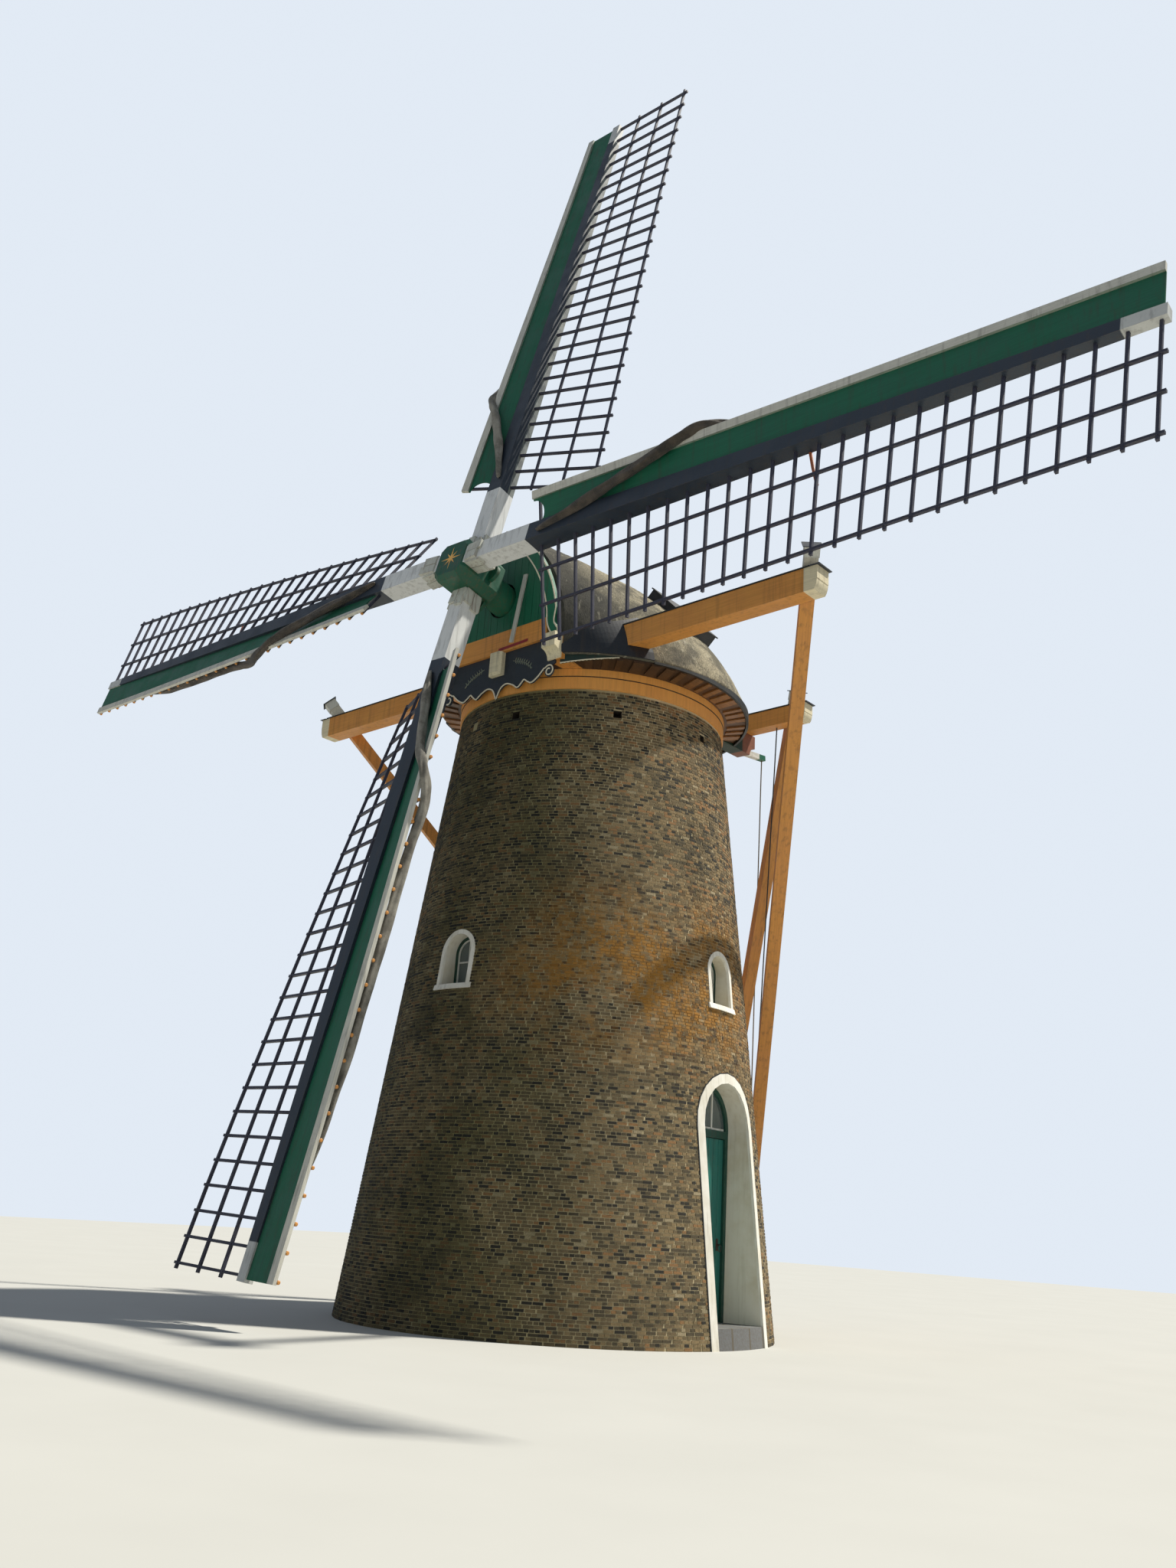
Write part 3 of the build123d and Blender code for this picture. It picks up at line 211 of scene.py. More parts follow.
def group(name, inputs, outputs):
    """An empty shader node group with named sockets; returns it with its two end nodes."""
    tree = bpy.data.node_groups.new(name, "ShaderNodeTree")
    for label, kind, value in inputs:
        socket = tree.interface.new_socket(label, in_out="INPUT", socket_type="NodeSocket" + kind)
        if value is not None:
            socket.default_value = value
    for label, kind in outputs:
        tree.interface.new_socket(label, in_out="OUTPUT", socket_type="NodeSocket" + kind)
    return tree, tree.nodes.new("NodeGroupInput"), tree.nodes.new("NodeGroupOutput")


def use(tree, made_group, inputs):
    """Places a node group in a material."""
    placed = tree.nodes.new("ShaderNodeGroup")
    placed.node_tree = made_group
    for key, value in inputs.items():
        if isinstance(value, bpy.types.NodeSocket):
            tree.links.new(value, placed.inputs[key])
        else:
            placed.inputs[key].default_value = value
    return placed.outputs


def send(tree, end, **sockets):
    """Links sockets to a group's outputs."""
    for label, socket in sockets.items():
        tree.links.new(socket, end.inputs[label])


def make_weathering():
    """Large soft patches, rain streaks down the surface and fine specks."""
    tree, start, end = group("weathering", [("Vector", "Vector", None), ("Scale", "Float", 1.0)],
                             [("Patches", "Float"), ("Streaks", "Float"), ("Specks", "Float")])
    vector = node(tree, "VectorMath", {0: start.outputs[0]}, operation="SCALE")
    tree.links.new(start.outputs[1], vector.inputs["Scale"])
    scaled = vector.outputs[0]
    patches = span(tree, mottle(tree, scaled, 1.6, 4.0, 0.6), 0.35, 0.68)
    streaks = span(tree, mottle(tree, stretched(tree, scaled, (14, 14, 0.7)), 1.0, 4.0, 0.6), 0.48, 0.72)
    specks = span(tree, mottle(tree, scaled, 42.0, 2.0, 0.7), 0.6, 0.72)
    send(tree, end, Patches=patches, Streaks=streaks, Specks=specks)
    return tree


def make_grain():
    """Wood grain along the X of its coordinates."""
    tree, start, end = group("wood grain", [("Vector", "Vector", None)], [("Grain", "Float")])
    vector = start.outputs[0]
    bent = node(tree, "TexNoise", {"Vector": stretched(tree, vector, (0.7, 3.0, 3.0)), "Scale": 1.0})
    shift = node(tree, "VectorMath", {0: bent.outputs["Color"], 1: (0.0, 0.09, 0.09)}, operation="MULTIPLY")
    line = node(tree, "VectorMath", {0: vector, 1: shift.outputs[0]}, operation="ADD").outputs[0]
    grain = mottle(tree, stretched(tree, line, (1.1, 42.0, 42.0)), 1.0, 3.0, 0.65)
    send(tree, end, Grain=grain)
    return tree


def make_worn_edges():
    """A mask that is 1 where an edge is rubbed."""
    tree, start, end = group("worn edges", [("Vector", "Vector", None), ("Reach", "Float", 0.02)],
                             [("Mask", "Float")])
    rounded = node(tree, "Bevel", {"Radius": start.outputs[1]}, samples=4)
    true = tree.nodes.new("ShaderNodeNewGeometry")
    normals = {0: rounded.outputs[0], 1: true.outputs["Normal"]}
    alike = node(tree, "VectorMath", normals, operation="DOT_PRODUCT")
    edge = span(tree, alike.outputs["Value"], 0.985, 0.86)
    broken = span(tree, mottle(tree, start.outputs[0], 9.0, 4.0, 0.7), 0.42, 0.6)
    send(tree, end, Mask=times(tree, edge, broken))
    return tree


def make_sail_place():
    """Where a point lies on its arm: its distance from the hub, and across the sail's twisted surface."""
    tree, start, end = group("sail place", [("Vector", "Vector", None), ("Turn", "Float", 0.0),
                                            ("Forward", "Float", 0.0)],
                             [("Radius", "Float"), ("Across", "Float")])
    centred = node(tree, "VectorMath", {0: start.outputs[0], 1: HUB}, operation="SUBTRACT").outputs[0]
    untilt = {"Vector": centred, "Axis": (1, 0, 0), "Angle": SHAFT_TILT - math.pi / 2}
    level = node(tree, "VectorRotate", untilt, rotation_type="AXIS_ANGLE").outputs[0]
    back = node(tree, "VectorRotate", {"Vector": level, "Axis": (0, 0, 1)}, rotation_type="AXIS_ANGLE")
    tree.links.new(times(tree, start.outputs[1], -1.0), back.inputs["Angle"])
    parts = node(tree, "SeparateXYZ", {0: back.outputs[0]})
    side = calc(tree, "SIGN", parts.outputs[0])
    radius = calc(tree, "ABSOLUTE", parts.outputs[0])
    across = times(tree, parts.outputs[1], side)
    ahead = calc(tree, "SUBTRACT", parts.outputs[2], start.outputs[2])
    share = calc(tree, "DIVIDE", calc(tree, "SUBTRACT", SAIL_RADIUS, radius), SAIL_RADIUS - FIRST_BAR)
    curve = calc(tree, "POWER", calc(tree, "MAXIMUM", share, 0.0), TWIST_CURVE)
    degrees = calc(tree, "MULTIPLY_ADD", curve, TWIST_ROOT - TWIST_TIP, TWIST_TIP)
    angle = calc(tree, "RADIANS", degrees)
    cosine = calc(tree, "COSINE", angle)
    sine = calc(tree, "SINE", angle)
    chord = calc(tree, "ADD", times(tree, across, cosine), times(tree, ahead, sine))
    send(tree, end, Radius=radius, Across=chord)
    return tree


WEATHERING = make_weathering()
GRAIN = make_grain()
WORN_EDGES = make_worn_edges()
SAIL_PLACE = make_sail_place()


def blank_material(name):
    """A material with its surface shader and its coordinates."""
    made = bpy.data.materials.new(name)
    made.use_nodes = True
    tree = made.node_tree
    tree.nodes.clear()
    surface = node(tree, "BsdfPrincipled")
    output = node(tree, "OutputMaterial")
    tree.links.new(surface.outputs[0], output.inputs[0])
    point = node(tree, "TexCoord").outputs["Object"]
    return made, tree, surface, point


def set_surface(tree, surface, colour, roughness, height=None, bump=0.3, reach=0.004):
    """Links a colour, a roughness and a relief to a surface shader."""
    for key, value in (("Base Color", colour), ("Roughness", roughness)):
        if isinstance(value, bpy.types.NodeSocket):
            tree.links.new(value, surface.inputs[key])
        else:
            surface.inputs[key].default_value = value
    if height is not None:
        relief = node(tree, "Bump", {"Height": height, "Strength": bump, "Distance": reach})
        tree.links.new(relief.outputs[0], surface.inputs["Normal"])


def turned_to(along):
    """The rotation that brings a direction to X, for a Mapping node."""
    return Vector(along).normalized().rotation_difference(Vector((1, 0, 0))).to_euler()


def shades(colour, factor):
    """A colour made darker or lighter."""
    return tuple(min(1.0, c * factor) for c in colour[:3]) + (1.0,)


def painted_wood(name, colour, along=(1, 0, 0), worn=(150, 128, 96), dirt=(58, 50, 40), rough=0.45,
                 wear=0.55, streaks=0.35, grain=0.5, bands=None, reach=0.012):
    """Painted timber: grain under the paint, rain streaks, dust in patches and rubbed edges.

    bands gives other colours for parts of the piece, as pairs of a mask and a colour.
    """
    made, tree, surface, point = blank_material(name)
    base = linear(*colour)
    for mask, other in (bands(tree, point) if bands else []):
        base = over(tree, mask, base, linear(*other))
    weather = use(tree, WEATHERING, {"Vector": point, "Scale": 1.0})
    fibres = use(tree, GRAIN, {"Vector": stretched(tree, point, (1, 1, 1), turned_to(along))})["Grain"]
    faded = over(tree, times(tree, weather["Patches"], 0.22), base, (0.75, 0.75, 0.72, 1.0), "SOFT_LIGHT")
    lines = span(tree, fibres, 0.3, 0.7, 1.0 - 0.35 * grain, 1.0)
    toned = over(tree, 1.0, faded, grey_of(tree, lines), "MULTIPLY")
    stained = over(tree, times(tree, weather["Streaks"], streaks), toned, linear(*dirt))
    edge = use(tree, WORN_EDGES, {"Vector": point, "Reach": reach})
    rubbed = over(tree, times(tree, edge["Mask"], wear), stained, linear(*worn))
    gloss = calc(tree, "MULTIPLY_ADD", weather["Patches"], 0.2, rough)
    height = calc(tree, "ADD", fibres, times(tree, weather["Specks"], 0.4))
    set_surface(tree, surface, rubbed, gloss, height, 0.35, 0.003)
    return made


# Materials

OCHRE = (208, 142, 68)
# Painted light: the rings get a brighter ochre than the beams, though they sit in the eave's shade.
LIT_RING_OCHRE = (228, 158, 78)
WHITE = (214, 214, 204)
CREAM = (222, 212, 178)
STOCK_BLUE = (36, 46, 58)
GREEN = (12, 92, 66)
TEAL = (30, 110, 100)


def coordinate(tree, point, index):
    """One coordinate of a point."""
    return node(tree, "SeparateXYZ", {0: point}).outputs[index]


def flattened(tree, point):
    """A point moved down to the floor."""
    return node(tree, "VectorMath", {0: point, 1: (1, 1, 0)}, operation="MULTIPLY").outputs[0]


def straight_radius(tree, point):
    """Distance from the tower's axis, with the wall's lean taken out."""
    radius = node(tree, "VectorMath", {0: flattened(tree, point)}, operation="LENGTH").outputs["Value"]
    return calc(tree, "MULTIPLY_ADD", coordinate(tree, point, 2), BATTER, radius)


def sector_mask(tree, point, azimuth, low, high):
    """How far a point lies towards an azimuth, from 0 to 1."""
    unit = node(tree, "VectorMath", {0: flattened(tree, point)}, operation="NORMALIZE").outputs[0]
    a = math.radians(azimuth)
    towards = node(tree, "VectorMath", {0: unit, 1: (math.sin(a), -math.cos(a), 0)}, operation="DOT_PRODUCT")
    return span(tree, towards.outputs["Value"], low, high)


def brick_material():
    """Hand-made bricks of many tones, with lichen in the damp zones and painted shade on the shaded side."""
    made, tree, surface, point = blank_material("weathered brick")
    tone = node(tree, "Attribute", attribute_name="tone").outputs["Fac"]
    stops = ((0.0, (46, 42, 34)), (0.11, (78, 69, 50)), (0.3, (108, 93, 66)), (0.58, (132, 113, 80)),
             (0.86, (138, 104, 66)), (0.97, (154, 140, 110)))
    palette = node(tree, "ValToRGB", {0: tone})
    ramp = palette.color_ramp
    ramp.interpolation = "CONSTANT"
    while len(ramp.elements) < len(stops):
        ramp.elements.new(0.5)
    for element, (position, colour) in zip(ramp.elements, stops):
        element.position = position
        element.color = linear(*colour)
    weather = use(tree, WEATHERING, {"Vector": point, "Scale": 0.8})
    rough_skin = mottle(tree, point, 60.0, 4.0, 0.7)
    shade = span(tree, rough_skin, 0.3, 0.7, 0.72, 1.18)
    skin = over(tree, 1.0, palette.outputs[0], grey_of(tree, shade), "MULTIPLY")
    lichened = lichen(tree, point, skin)
    damp_and_shade = over(tree, times(tree, weather["Streaks"], 0.18), lichened, linear(60, 58, 44))
    set_surface(tree, surface, damp_and_shade, 0.92, rough_skin, 0.6, 0.004)
    return made


def lichen(tree, point, colour):
    """Orange lichen about the windows on the bright side, green algae and painted shade on the shaded side,
    and soot.
    """
    height = coordinate(tree, point, 2)
    zone = times(tree, span(tree, height, 3.6, 5.0), span(tree, height, 7.4, 5.8))
    sunny = sector_mask(tree, point, 66, 0.45, 0.95)
    spots = span(tree, mottle(tree, point, 6.0, 6.0, 0.75), 0.42, 0.56, 0.15, 1.0)
    large = span(tree, mottle(tree, point, 0.8, 3.0, 0.55), 0.34, 0.56)
    spread = times(tree, times(tree, zone, sunny), times(tree, spots, large))
    orange = over(tree, times(tree, spread, 0.75), colour, linear(164, 112, 24))
    # Painted shade: the side away from the lamp is darkened and greened, part shade and part algae.
    shaded = sector_mask(tree, point, -20, 0.1, 0.8)
    patches = span(tree, mottle(tree, point, 0.7, 4.0, 0.6), 0.38, 0.62, 0.6, 1.0)
    damp_and_shade = over(tree, times(tree, shaded, patches), orange, (0.34, 0.38, 0.28, 1.0), "MULTIPLY")
    soot = span(tree, mottle(tree, point, 0.9, 5.0, 0.65), 0.5, 0.66, 0.0, 0.6)
    return over(tree, soot, damp_and_shade, (0.5, 0.52, 0.5, 1.0), "MULTIPLY")


def wall_material():
    """Tan lime mortar outside, and whitewash inside and on the reveals, with painted shade in the putlog
    pockets.
    """
    made, tree, surface, point = blank_material("mortar and whitewash")
    straight = straight_radius(tree, point)
    sand = mottle(tree, point, 90.0, 3.0, 0.7)
    weather = use(tree, WEATHERING, {"Vector": point, "Scale": 1.0})
    mortar = over(tree, sand, linear(176, 160, 124), linear(216, 200, 160))
    grimy = over(tree, times(tree, weather["Patches"], 0.3), mortar, linear(116, 106, 78))
    mortar = lichen(tree, point, grimy)
    wash = over(tree, weather["Patches"], linear(224, 220, 206), linear(206, 198, 176))
    wash = over(tree, times(tree, weather["Streaks"], 0.2), wash, linear(150, 136, 104))
    inside = span(tree, straight, FOOT_RADIUS - 0.004, FOOT_RADIUS - 0.006)
    # Painted shade: the walls of the putlog pockets are darkened.
    off = calc(tree, "ABSOLUTE", calc(tree, "SUBTRACT", coordinate(tree, point, 2), PUTLOG_Z))
    level = span(tree, off, PUTLOG_SIZE / 2 + 0.004, PUTLOG_SIZE / 2 + 0.002)
    bottom = FOOT_RADIUS - PUTLOG_DEEP
    pocket = times(tree, level, span(tree, straight, bottom - 0.02, bottom - 0.01))
    pocket_shaded = over(tree, pocket, wash, linear(52, 44, 34))
    set_surface(tree, surface, over(tree, inside, mortar, pocket_shaded), 0.95, sand, 0.5, 0.003)
    return made


def plaster_material(name, colour):
    """Thick whitewash brushed over plaster."""
    made, tree, surface, point = blank_material(name)
    weather = use(tree, WEATHERING, {"Vector": point, "Scale": 1.5})
    base = over(tree, times(tree, weather["Patches"], 0.35), linear(*colour), linear(190, 180, 150))
    stained = over(tree, times(tree, weather["Streaks"], 0.3), base, linear(128, 116, 88))
    brushed = mottle(tree, stretched(tree, point, (30, 30, 9)), 1.0, 4.0, 0.6)
    set_surface(tree, surface, stained, 0.8, brushed, 0.5, 0.004)
    return made


def stone_material(name, dark, light, scale):
    """Plain worn stone or clay paving."""
    made, tree, surface, point = blank_material(name)
    slabs = {"Vector": point, "Scale": scale, "Color1": linear(*dark), "Color2": linear(*light),
             "Mortar": linear(96, 90, 78), "Mortar Size": 0.012}
    cells = node(tree, "TexBrick", slabs)
    grit = mottle(tree, point, 30.0, 5.0, 0.7)
    toned = over(tree, span(tree, grit, 0.3, 0.7, 0.0, 0.5), cells.outputs[0], linear(84, 76, 62))
    set_surface(tree, surface, toned, 0.85, grit, 0.5, 0.004)
    return made


def thatch_material():
    """Old reed: pale grey-tan and cloudy, with sooty patches, fine reeds, a few pale drips and painted shade
    towards the front.
    """
    made, tree, surface, point = blank_material("old reed thatch")
    reeds = mottle(tree, stretched(tree, point, (70, 70, 16)), 1.0, 4.0, 0.7)
    drips = mottle(tree, stretched(tree, point, (9, 9, 0.9)), 1.0, 3.0, 0.6)
    clouds = mottle(tree, point, 1.1, 6.0, 0.7)
    base = over(tree, span(tree, reeds, 0.34, 0.66), linear(98, 92, 74), linear(186, 176, 148))
    mossy = over(tree, span(tree, clouds, 0.44, 0.6, 0.0, 0.85), base, linear(82, 79, 66))
    soot = span(tree, mottle(tree, point, 0.6, 5.0, 0.65), 0.5, 0.64, 0.0, 0.7)
    sooty = over(tree, soot, mossy, linear(58, 57, 52))
    # Painted shade: darker towards the cap's front.
    front = span(tree, coordinate(tree, point, 1), -0.9, -2.4, 0.0, 0.7)
    shaded = over(tree, front, sooty, linear(60, 60, 56))
    pale = over(tree, span(tree, drips, 0.58, 0.74, 0.0, 0.5), shaded, linear(200, 194, 172))
    set_surface(tree, surface, pale, 0.95, calc(tree, "ADD", reeds, clouds), 0.9, 0.02)
    return made


def ring_bands(tree, point):
    """The dark seam between the two rings."""
    off = calc(tree, "ABSOLUTE", calc(tree, "SUBTRACT", coordinate(tree, point, 2), CURB_SEAM))
    return [(span(tree, off, 0.012, 0.004), (40, 28, 18))]


def stock_bands(turn, side):
    """White by the hub, pale grey at the tips, and grey on the inner stock's trailing side, part worn paint
    and part painted sunlight.
    """
    def bands(tree, point):
        place = use(tree, SAIL_PLACE, {"Vector": point, "Turn": turn, "Forward": side * STOCK_OFFSET})
        broken = mottle(tree, point, 5.0, 4.0, 0.7)
        ragged = calc(tree, "MULTIPLY_ADD", broken, 0.02, place["Radius"])
        hub_end = span(tree, ragged, STOCK_WHITE_TO + 0.01, STOCK_WHITE_TO)
        tip = span(tree, place["Radius"], STOCK_TIP_FROM, STOCK_TIP_FROM + 0.02)
        half_width = calc(tree, "MULTIPLY_ADD", place["Radius"], -STOCK_TAPER, STOCK_HALF_WIDTH)
        # Painted light on the trailing side face, mixed with worn paint.
        trailing_side = span(tree, calc(tree, "ADD", place["Across"], half_width), 0.006, 0.002)
        peeled_and_sunlit = times(tree, trailing_side, span(tree, broken, 0.35, 0.55, 0.35, 0.9))
        grey = [(peeled_and_sunlit, (116, 122, 118))] if side < 0 else []
        return grey + [(hub_end, (212, 214, 212)), (tip, (190, 192, 188))]
    return bands


def board_bands(turn, side):
    """The pale edge strip along the green leading boards."""
    def bands(tree, point):
        place = use(tree, SAIL_PLACE, {"Vector": point, "Turn": turn, "Forward": side * STOCK_OFFSET})
        inner = LEADING - STRIP_WIDTH
        return [(span(tree, place["Across"], inner - 0.002, inner + 0.002), (200, 198, 186))]
    return bands


def sheer_bands(tree, point):
    """Cream front ends on the sheers, dull green below the rear eave, and painted shade behind it: darker
    reddish-brown ends.
    """
    along = coordinate(tree, point, 1)
    return [(span(tree, along, SHEER_CREAM_FROM, SHEER_CREAM_FROM - 0.005), CREAM),
            (span(tree, along, SHEER_GREEN_FROM, SHEER_GREEN_FROM + 0.004), (24, 50, 38)),
            # Painted shade: the rear ends darkened under the eave.
            (span(tree, along, SHEER_SHADE_FROM, SHEER_SHADE_FROM + 0.004), (128, 78, 54))]


def block_bands(tree, point):
    """The cream block below the middle of the weather beam."""
    return [(span(tree, coordinate(tree, point, 2), SHEER_TOP - 0.002, SHEER_TOP - 0.004), CREAM)]


def eave_bands(tree, point):
    """Deep shade on the timber under the front of the eave."""
    return [(times(tree, sector_mask(tree, point, 15, 0.15, 0.7), 0.85), (44, 31, 22))]


def beam_bands(limit):
    """Cream ends on a beam."""
    def bands(tree, point):
        out = calc(tree, "ABSOLUTE", coordinate(tree, point, 0))
        return [(span(tree, out, limit, limit + 0.004), (224, 212, 178))]
    return bands


def brace_bands(level):
    """White tops on the braces, above the beam."""
    def bands(tree, point):
        return [(span(tree, coordinate(tree, point, 2), level, level + 0.01), (214, 208, 190))]
    return bands


def lever_bands(tree, point):
    """The brake lever's green end."""
    return [(span(tree, coordinate(tree, point, 1), LEVER_GREEN_FROM, LEVER_GREEN_FROM + 0.01), GREEN)]


def iron_material(name, colour, rust):
    """Painted cast iron with rust at its edges."""
    made, tree, surface, point = blank_material(name)
    weather = use(tree, WEATHERING, {"Vector": point, "Scale": 1.6})
    edge = use(tree, WORN_EDGES, {"Vector": point, "Reach": 0.012})
    base = over(tree, times(tree, weather["Patches"], 0.3), linear(*colour), shades(linear(*colour), 1.7))
    rusty = over(tree, times(tree, weather["Streaks"], rust), base, linear(104, 62, 34))
    rubbed = over(tree, times(tree, edge["Mask"], rust), rusty, linear(128, 84, 50))
    set_surface(tree, surface, rubbed, calc(tree, "MULTIPLY_ADD", weather["Patches"], 0.25, 0.38),
                mottle(tree, point, 30.0, 4.0), 0.3, 0.004)
    return made


def cloth_material(name, colour, dark):
    """Waxed canvas: a weave along the roll, with creases and grime."""
    made, tree, surface, point = blank_material(name)
    uv = node(tree, "UVMap", uv_map="roll").outputs[0]
    weave = node(tree, "TexWave", {"Vector": uv, "Scale": 60.0, "Distortion": 1.0, "Detail": 1.0}).outputs[1]
    cross = node(tree, "TexWave", {"Vector": uv, "Scale": 60.0}, bands_direction="Y").outputs[1]
    threads = times(tree, weave, cross)
    patches = mottle(tree, point, 3.0, 5.0, 0.65)
    base = over(tree, span(tree, patches, 0.35, 0.65), linear(*dark), linear(*colour))
    worn = over(tree, times(tree, threads, 0.15), base, shades(linear(*colour), 1.6))
    surface.inputs["Sheen Weight"].default_value = 0.15
    set_surface(tree, surface, worn, 0.85, calc(tree, "ADD", threads, mottle(tree, point, 14.0)), 0.6, 0.006)
    return made


def rope_material():
    """Laid hemp rope."""
    made, tree, surface, point = blank_material("laid rope")
    leaning = stretched(tree, point, (1, 1, 1), (0.6, 0, 0))
    lay = node(tree, "TexWave", {"Vector": leaning, "Scale": 24.0}, bands_direction="Z").outputs[1]
    base = over(tree, lay, linear(70, 66, 58), linear(150, 142, 122))
    set_surface(tree, surface, base, 0.9, lay, 0.7, 0.004)
    return made


def glass_material():
    """Old window glass."""
    made, tree, surface, point = blank_material("window glass")
    surface.inputs["Base Color"].default_value = linear(190, 205, 205)
    surface.inputs["Transmission Weight"].default_value = 0.85
    surface.inputs["IOR"].default_value = 1.5
    dusty = mottle(tree, point, 6.0, 5.0, 0.7)
    rough = span(tree, dusty, 0.3, 0.8, 0.03, 0.25)
    tree.links.new(rough, surface.inputs["Roughness"])
    relief = node(tree, "Bump", {"Height": mottle(tree, point, 3.0, 1.0), "Strength": 0.15, "Distance": 0.01})
    tree.links.new(relief.outputs[0], surface.inputs["Normal"])
    return made


BRICK = brick_material()
WALL = wall_material()
PLASTER = plaster_material("whitewashed plaster", (232, 230, 220))
REED = thatch_material()
OUTER_TURN = SAILS_TURNED
INNER_TURN = SAILS_TURNED + math.pi / 2
CREAM_PAINT = painted_wood("cream line paint", (230, 222, 196), (1, 0, 0), streaks=0.15, wear=0.2)
WHITE_PAINT = painted_wood("white joinery paint", WHITE, (0, 0, 1), streaks=0.2, wear=0.3)
DARK_PAINT = painted_wood("black joinery paint", (26, 30, 30), (1, 0, 0), (90, 88, 80))
LATTICE_PAINT = painted_wood("sail bar paint", (46, 47, 64), FORWARD, (150, 148, 140), wear=0.6, reach=0.006)
OCHRE_X = painted_wood("ochre timber across", OCHRE, (1, 0, 0), streaks=0.25)
GREEN_UPRIGHT = painted_wood("green upright boards", GREEN, (0, 0, 1), (90, 140, 116), wear=0.25, streaks=0.2)
NAVY_PAINT = painted_wood("navy board paint", (30, 40, 50), (1, 0, 0), (84, 96, 104), wear=0.25, streaks=0.15)
IRON = iron_material("black forged iron", (34, 34, 34), 0.5)
SASH = painted_wood("white sash paint", (226, 226, 216), (0, 0, 1), wear=0.3)

FINISHES = {
    "curb_ring": painted_wood("curb timber", LIT_RING_OCHRE, (0, 0, 1), bands=ring_bands, streaks=0.12,
                              grain=0.3),
    "cap_ring": painted_wood("cap ring timber", LIT_RING_OCHRE, (0, 0, 1), bands=ring_bands, streaks=0.12,
                             grain=0.3),
    "sheers": painted_wood("sheer timber", OCHRE, (0, 1, 0), bands=sheer_bands),
    "weather_beam": painted_wood("weather beam timber", OCHRE, (1, 0, 0), bands=block_bands),
    "neck_bearing": DARK_PAINT,
    "tail_beam": OCHRE_X,
    "long_beam": painted_wood("long beam timber", OCHRE, (1, 0, 0), bands=beam_bands(LONG_CREAM_FROM),
                              streaks=0.25),
    "short_beam": painted_wood("short beam timber", OCHRE, (1, 0, 0), bands=beam_bands(SHORT_CREAM_FROM),
                               streaks=0.25),
    "long_braces": painted_wood("long brace timber", OCHRE, LONG_BRACE_LINE,
                                bands=brace_bands(LONG_WHITE_FROM)),
    "short_braces": painted_wood("short brace timber", OCHRE, SHORT_BRACE_LINE,
                                 bands=brace_bands(SHORT_WHITE_FROM)),
    "tail_pole": painted_wood("tail pole timber", OCHRE, POLE_FOOT - POLE_HEAD),
    # Painted shade: the soffit's dark brown is partly shade under the eave.
    "eave_soffit": painted_wood("soffit boards", (92, 60, 30), (0, 1, 0), dirt=(40, 26, 14), wear=0.0,
                                grain=0.9, bands=eave_bands),
    "front_boards": GREEN_UPRIGHT,
    "edge_boards": painted_wood("green edge boards", (16, 100, 72), (0, 0, 1), (100, 150, 120), wear=0.2),
    "beard_board": NAVY_PAINT,
    "brake_lever": painted_wood("white lever paint", (208, 206, 196), (0, 1, 0), bands=lever_bands),
    "brake_rope": rope_material(),
    "tail_line": painted_wood("tarred line", (44, 42, 38), (0, 0, 1), grain=1.0, wear=0.0),
    "brace_tops": WHITE_PAINT,
    "lead_plates": painted_wood("sheet lead", (44, 50, 58), (1, 0, 0), (120, 124, 128), rough=0.5, grain=0.1),
    "lean_plank": painted_wood("weathered white plank", (188, 190, 182), (0.23, 0, 1.27), streaks=0.5,
                               wear=0.6),
    "apron": REED,
    "ridge_hatch": painted_wood("black hatch paint", (30, 34, 38), (0, 1, 0), (110, 108, 100), wear=0.5),
    "thatch_left": REED,
    "thatch_right": REED,
    "poll_end": iron_material("green cast iron", (10, 76, 54), 0.35),
    "poll_wedges": iron_material("grey-white wedges", (176, 178, 168), 0.55),
    "windshaft": iron_material("shaft iron", (16, 84, 60), 0.3),
    "glass": glass_material(),
    "ground_floor": stone_material("clay paving", (110, 74, 54), (140, 98, 72), 4.0),
    "door_thresholds": stone_material("blue stone", (96, 98, 100), (118, 120, 120), 0.5),
    "upper_floor": painted_wood("bare floor timber", (164, 130, 88), (0, 1, 0), grain=1.0, wear=0.0),
    "window_frames": painted_wood("dark frame paint", (20, 62, 50), (0, 0, 1), (120, 124, 110)),
    "door_frames": painted_wood("door frame paint", (16, 70, 58), (0, 0, 1), (120, 124, 110)),
    "right_door": painted_wood("teal door paint", TEAL, (0, 0, 1), (110, 140, 130)),
    "left_door": painted_wood("teal left door paint", TEAL, (0, 0, 1), (110, 140, 130)),
}
for layer, turn, side, along in (("outer", OUTER_TURN, 1, (1, 0, 0)), ("inner", INNER_TURN, -1, RISE)):
    FINISHES[f"{layer}_stock"] = painted_wood(f"{layer} stock paint", STOCK_BLUE, along, (110, 92, 74),
                                              rough=0.35, wear=0.5, streaks=0.3, grain=0.15,
                                              bands=stock_bands(turn, side))
    FINISHES[f"{layer}_boards"] = painted_wood(f"{layer} leading boards", GREEN, along, (90, 130, 110),
                                               wear=0.3, bands=board_bands(turn, side))

for name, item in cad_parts.items():
    finish = FINISHES.get(name)
    if finish is None:
        finish = LATTICE_PAINT if name.endswith("_lattice") else WALL
    item.data.materials.clear()
    item.data.materials.append(finish)


# Mesh helpers

def to_piece(name, bm, material, body, slot, smooth=False):
    """Makes an object of a mesh and lets it ride on a body."""
    bmesh.ops.recalc_face_normals(bm, faces=bm.faces[:])
    mesh = bpy.data.meshes.new(name)
    bm.to_mesh(mesh)
    bm.free()
    return mesh_piece(name, mesh, material, body, slot, smooth)


def mesh_piece(name, mesh, material, body, slot, smooth=False):
    """Makes an object of a finished mesh."""
    mesh.polygons.foreach_set("use_smooth", [smooth] * len(mesh.polygons))
    mesh.materials.append(material)
    made = bpy.data.objects.new(name, mesh)
    bpy.context.scene.collection.objects.link(made)
    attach(made, body)
    return made


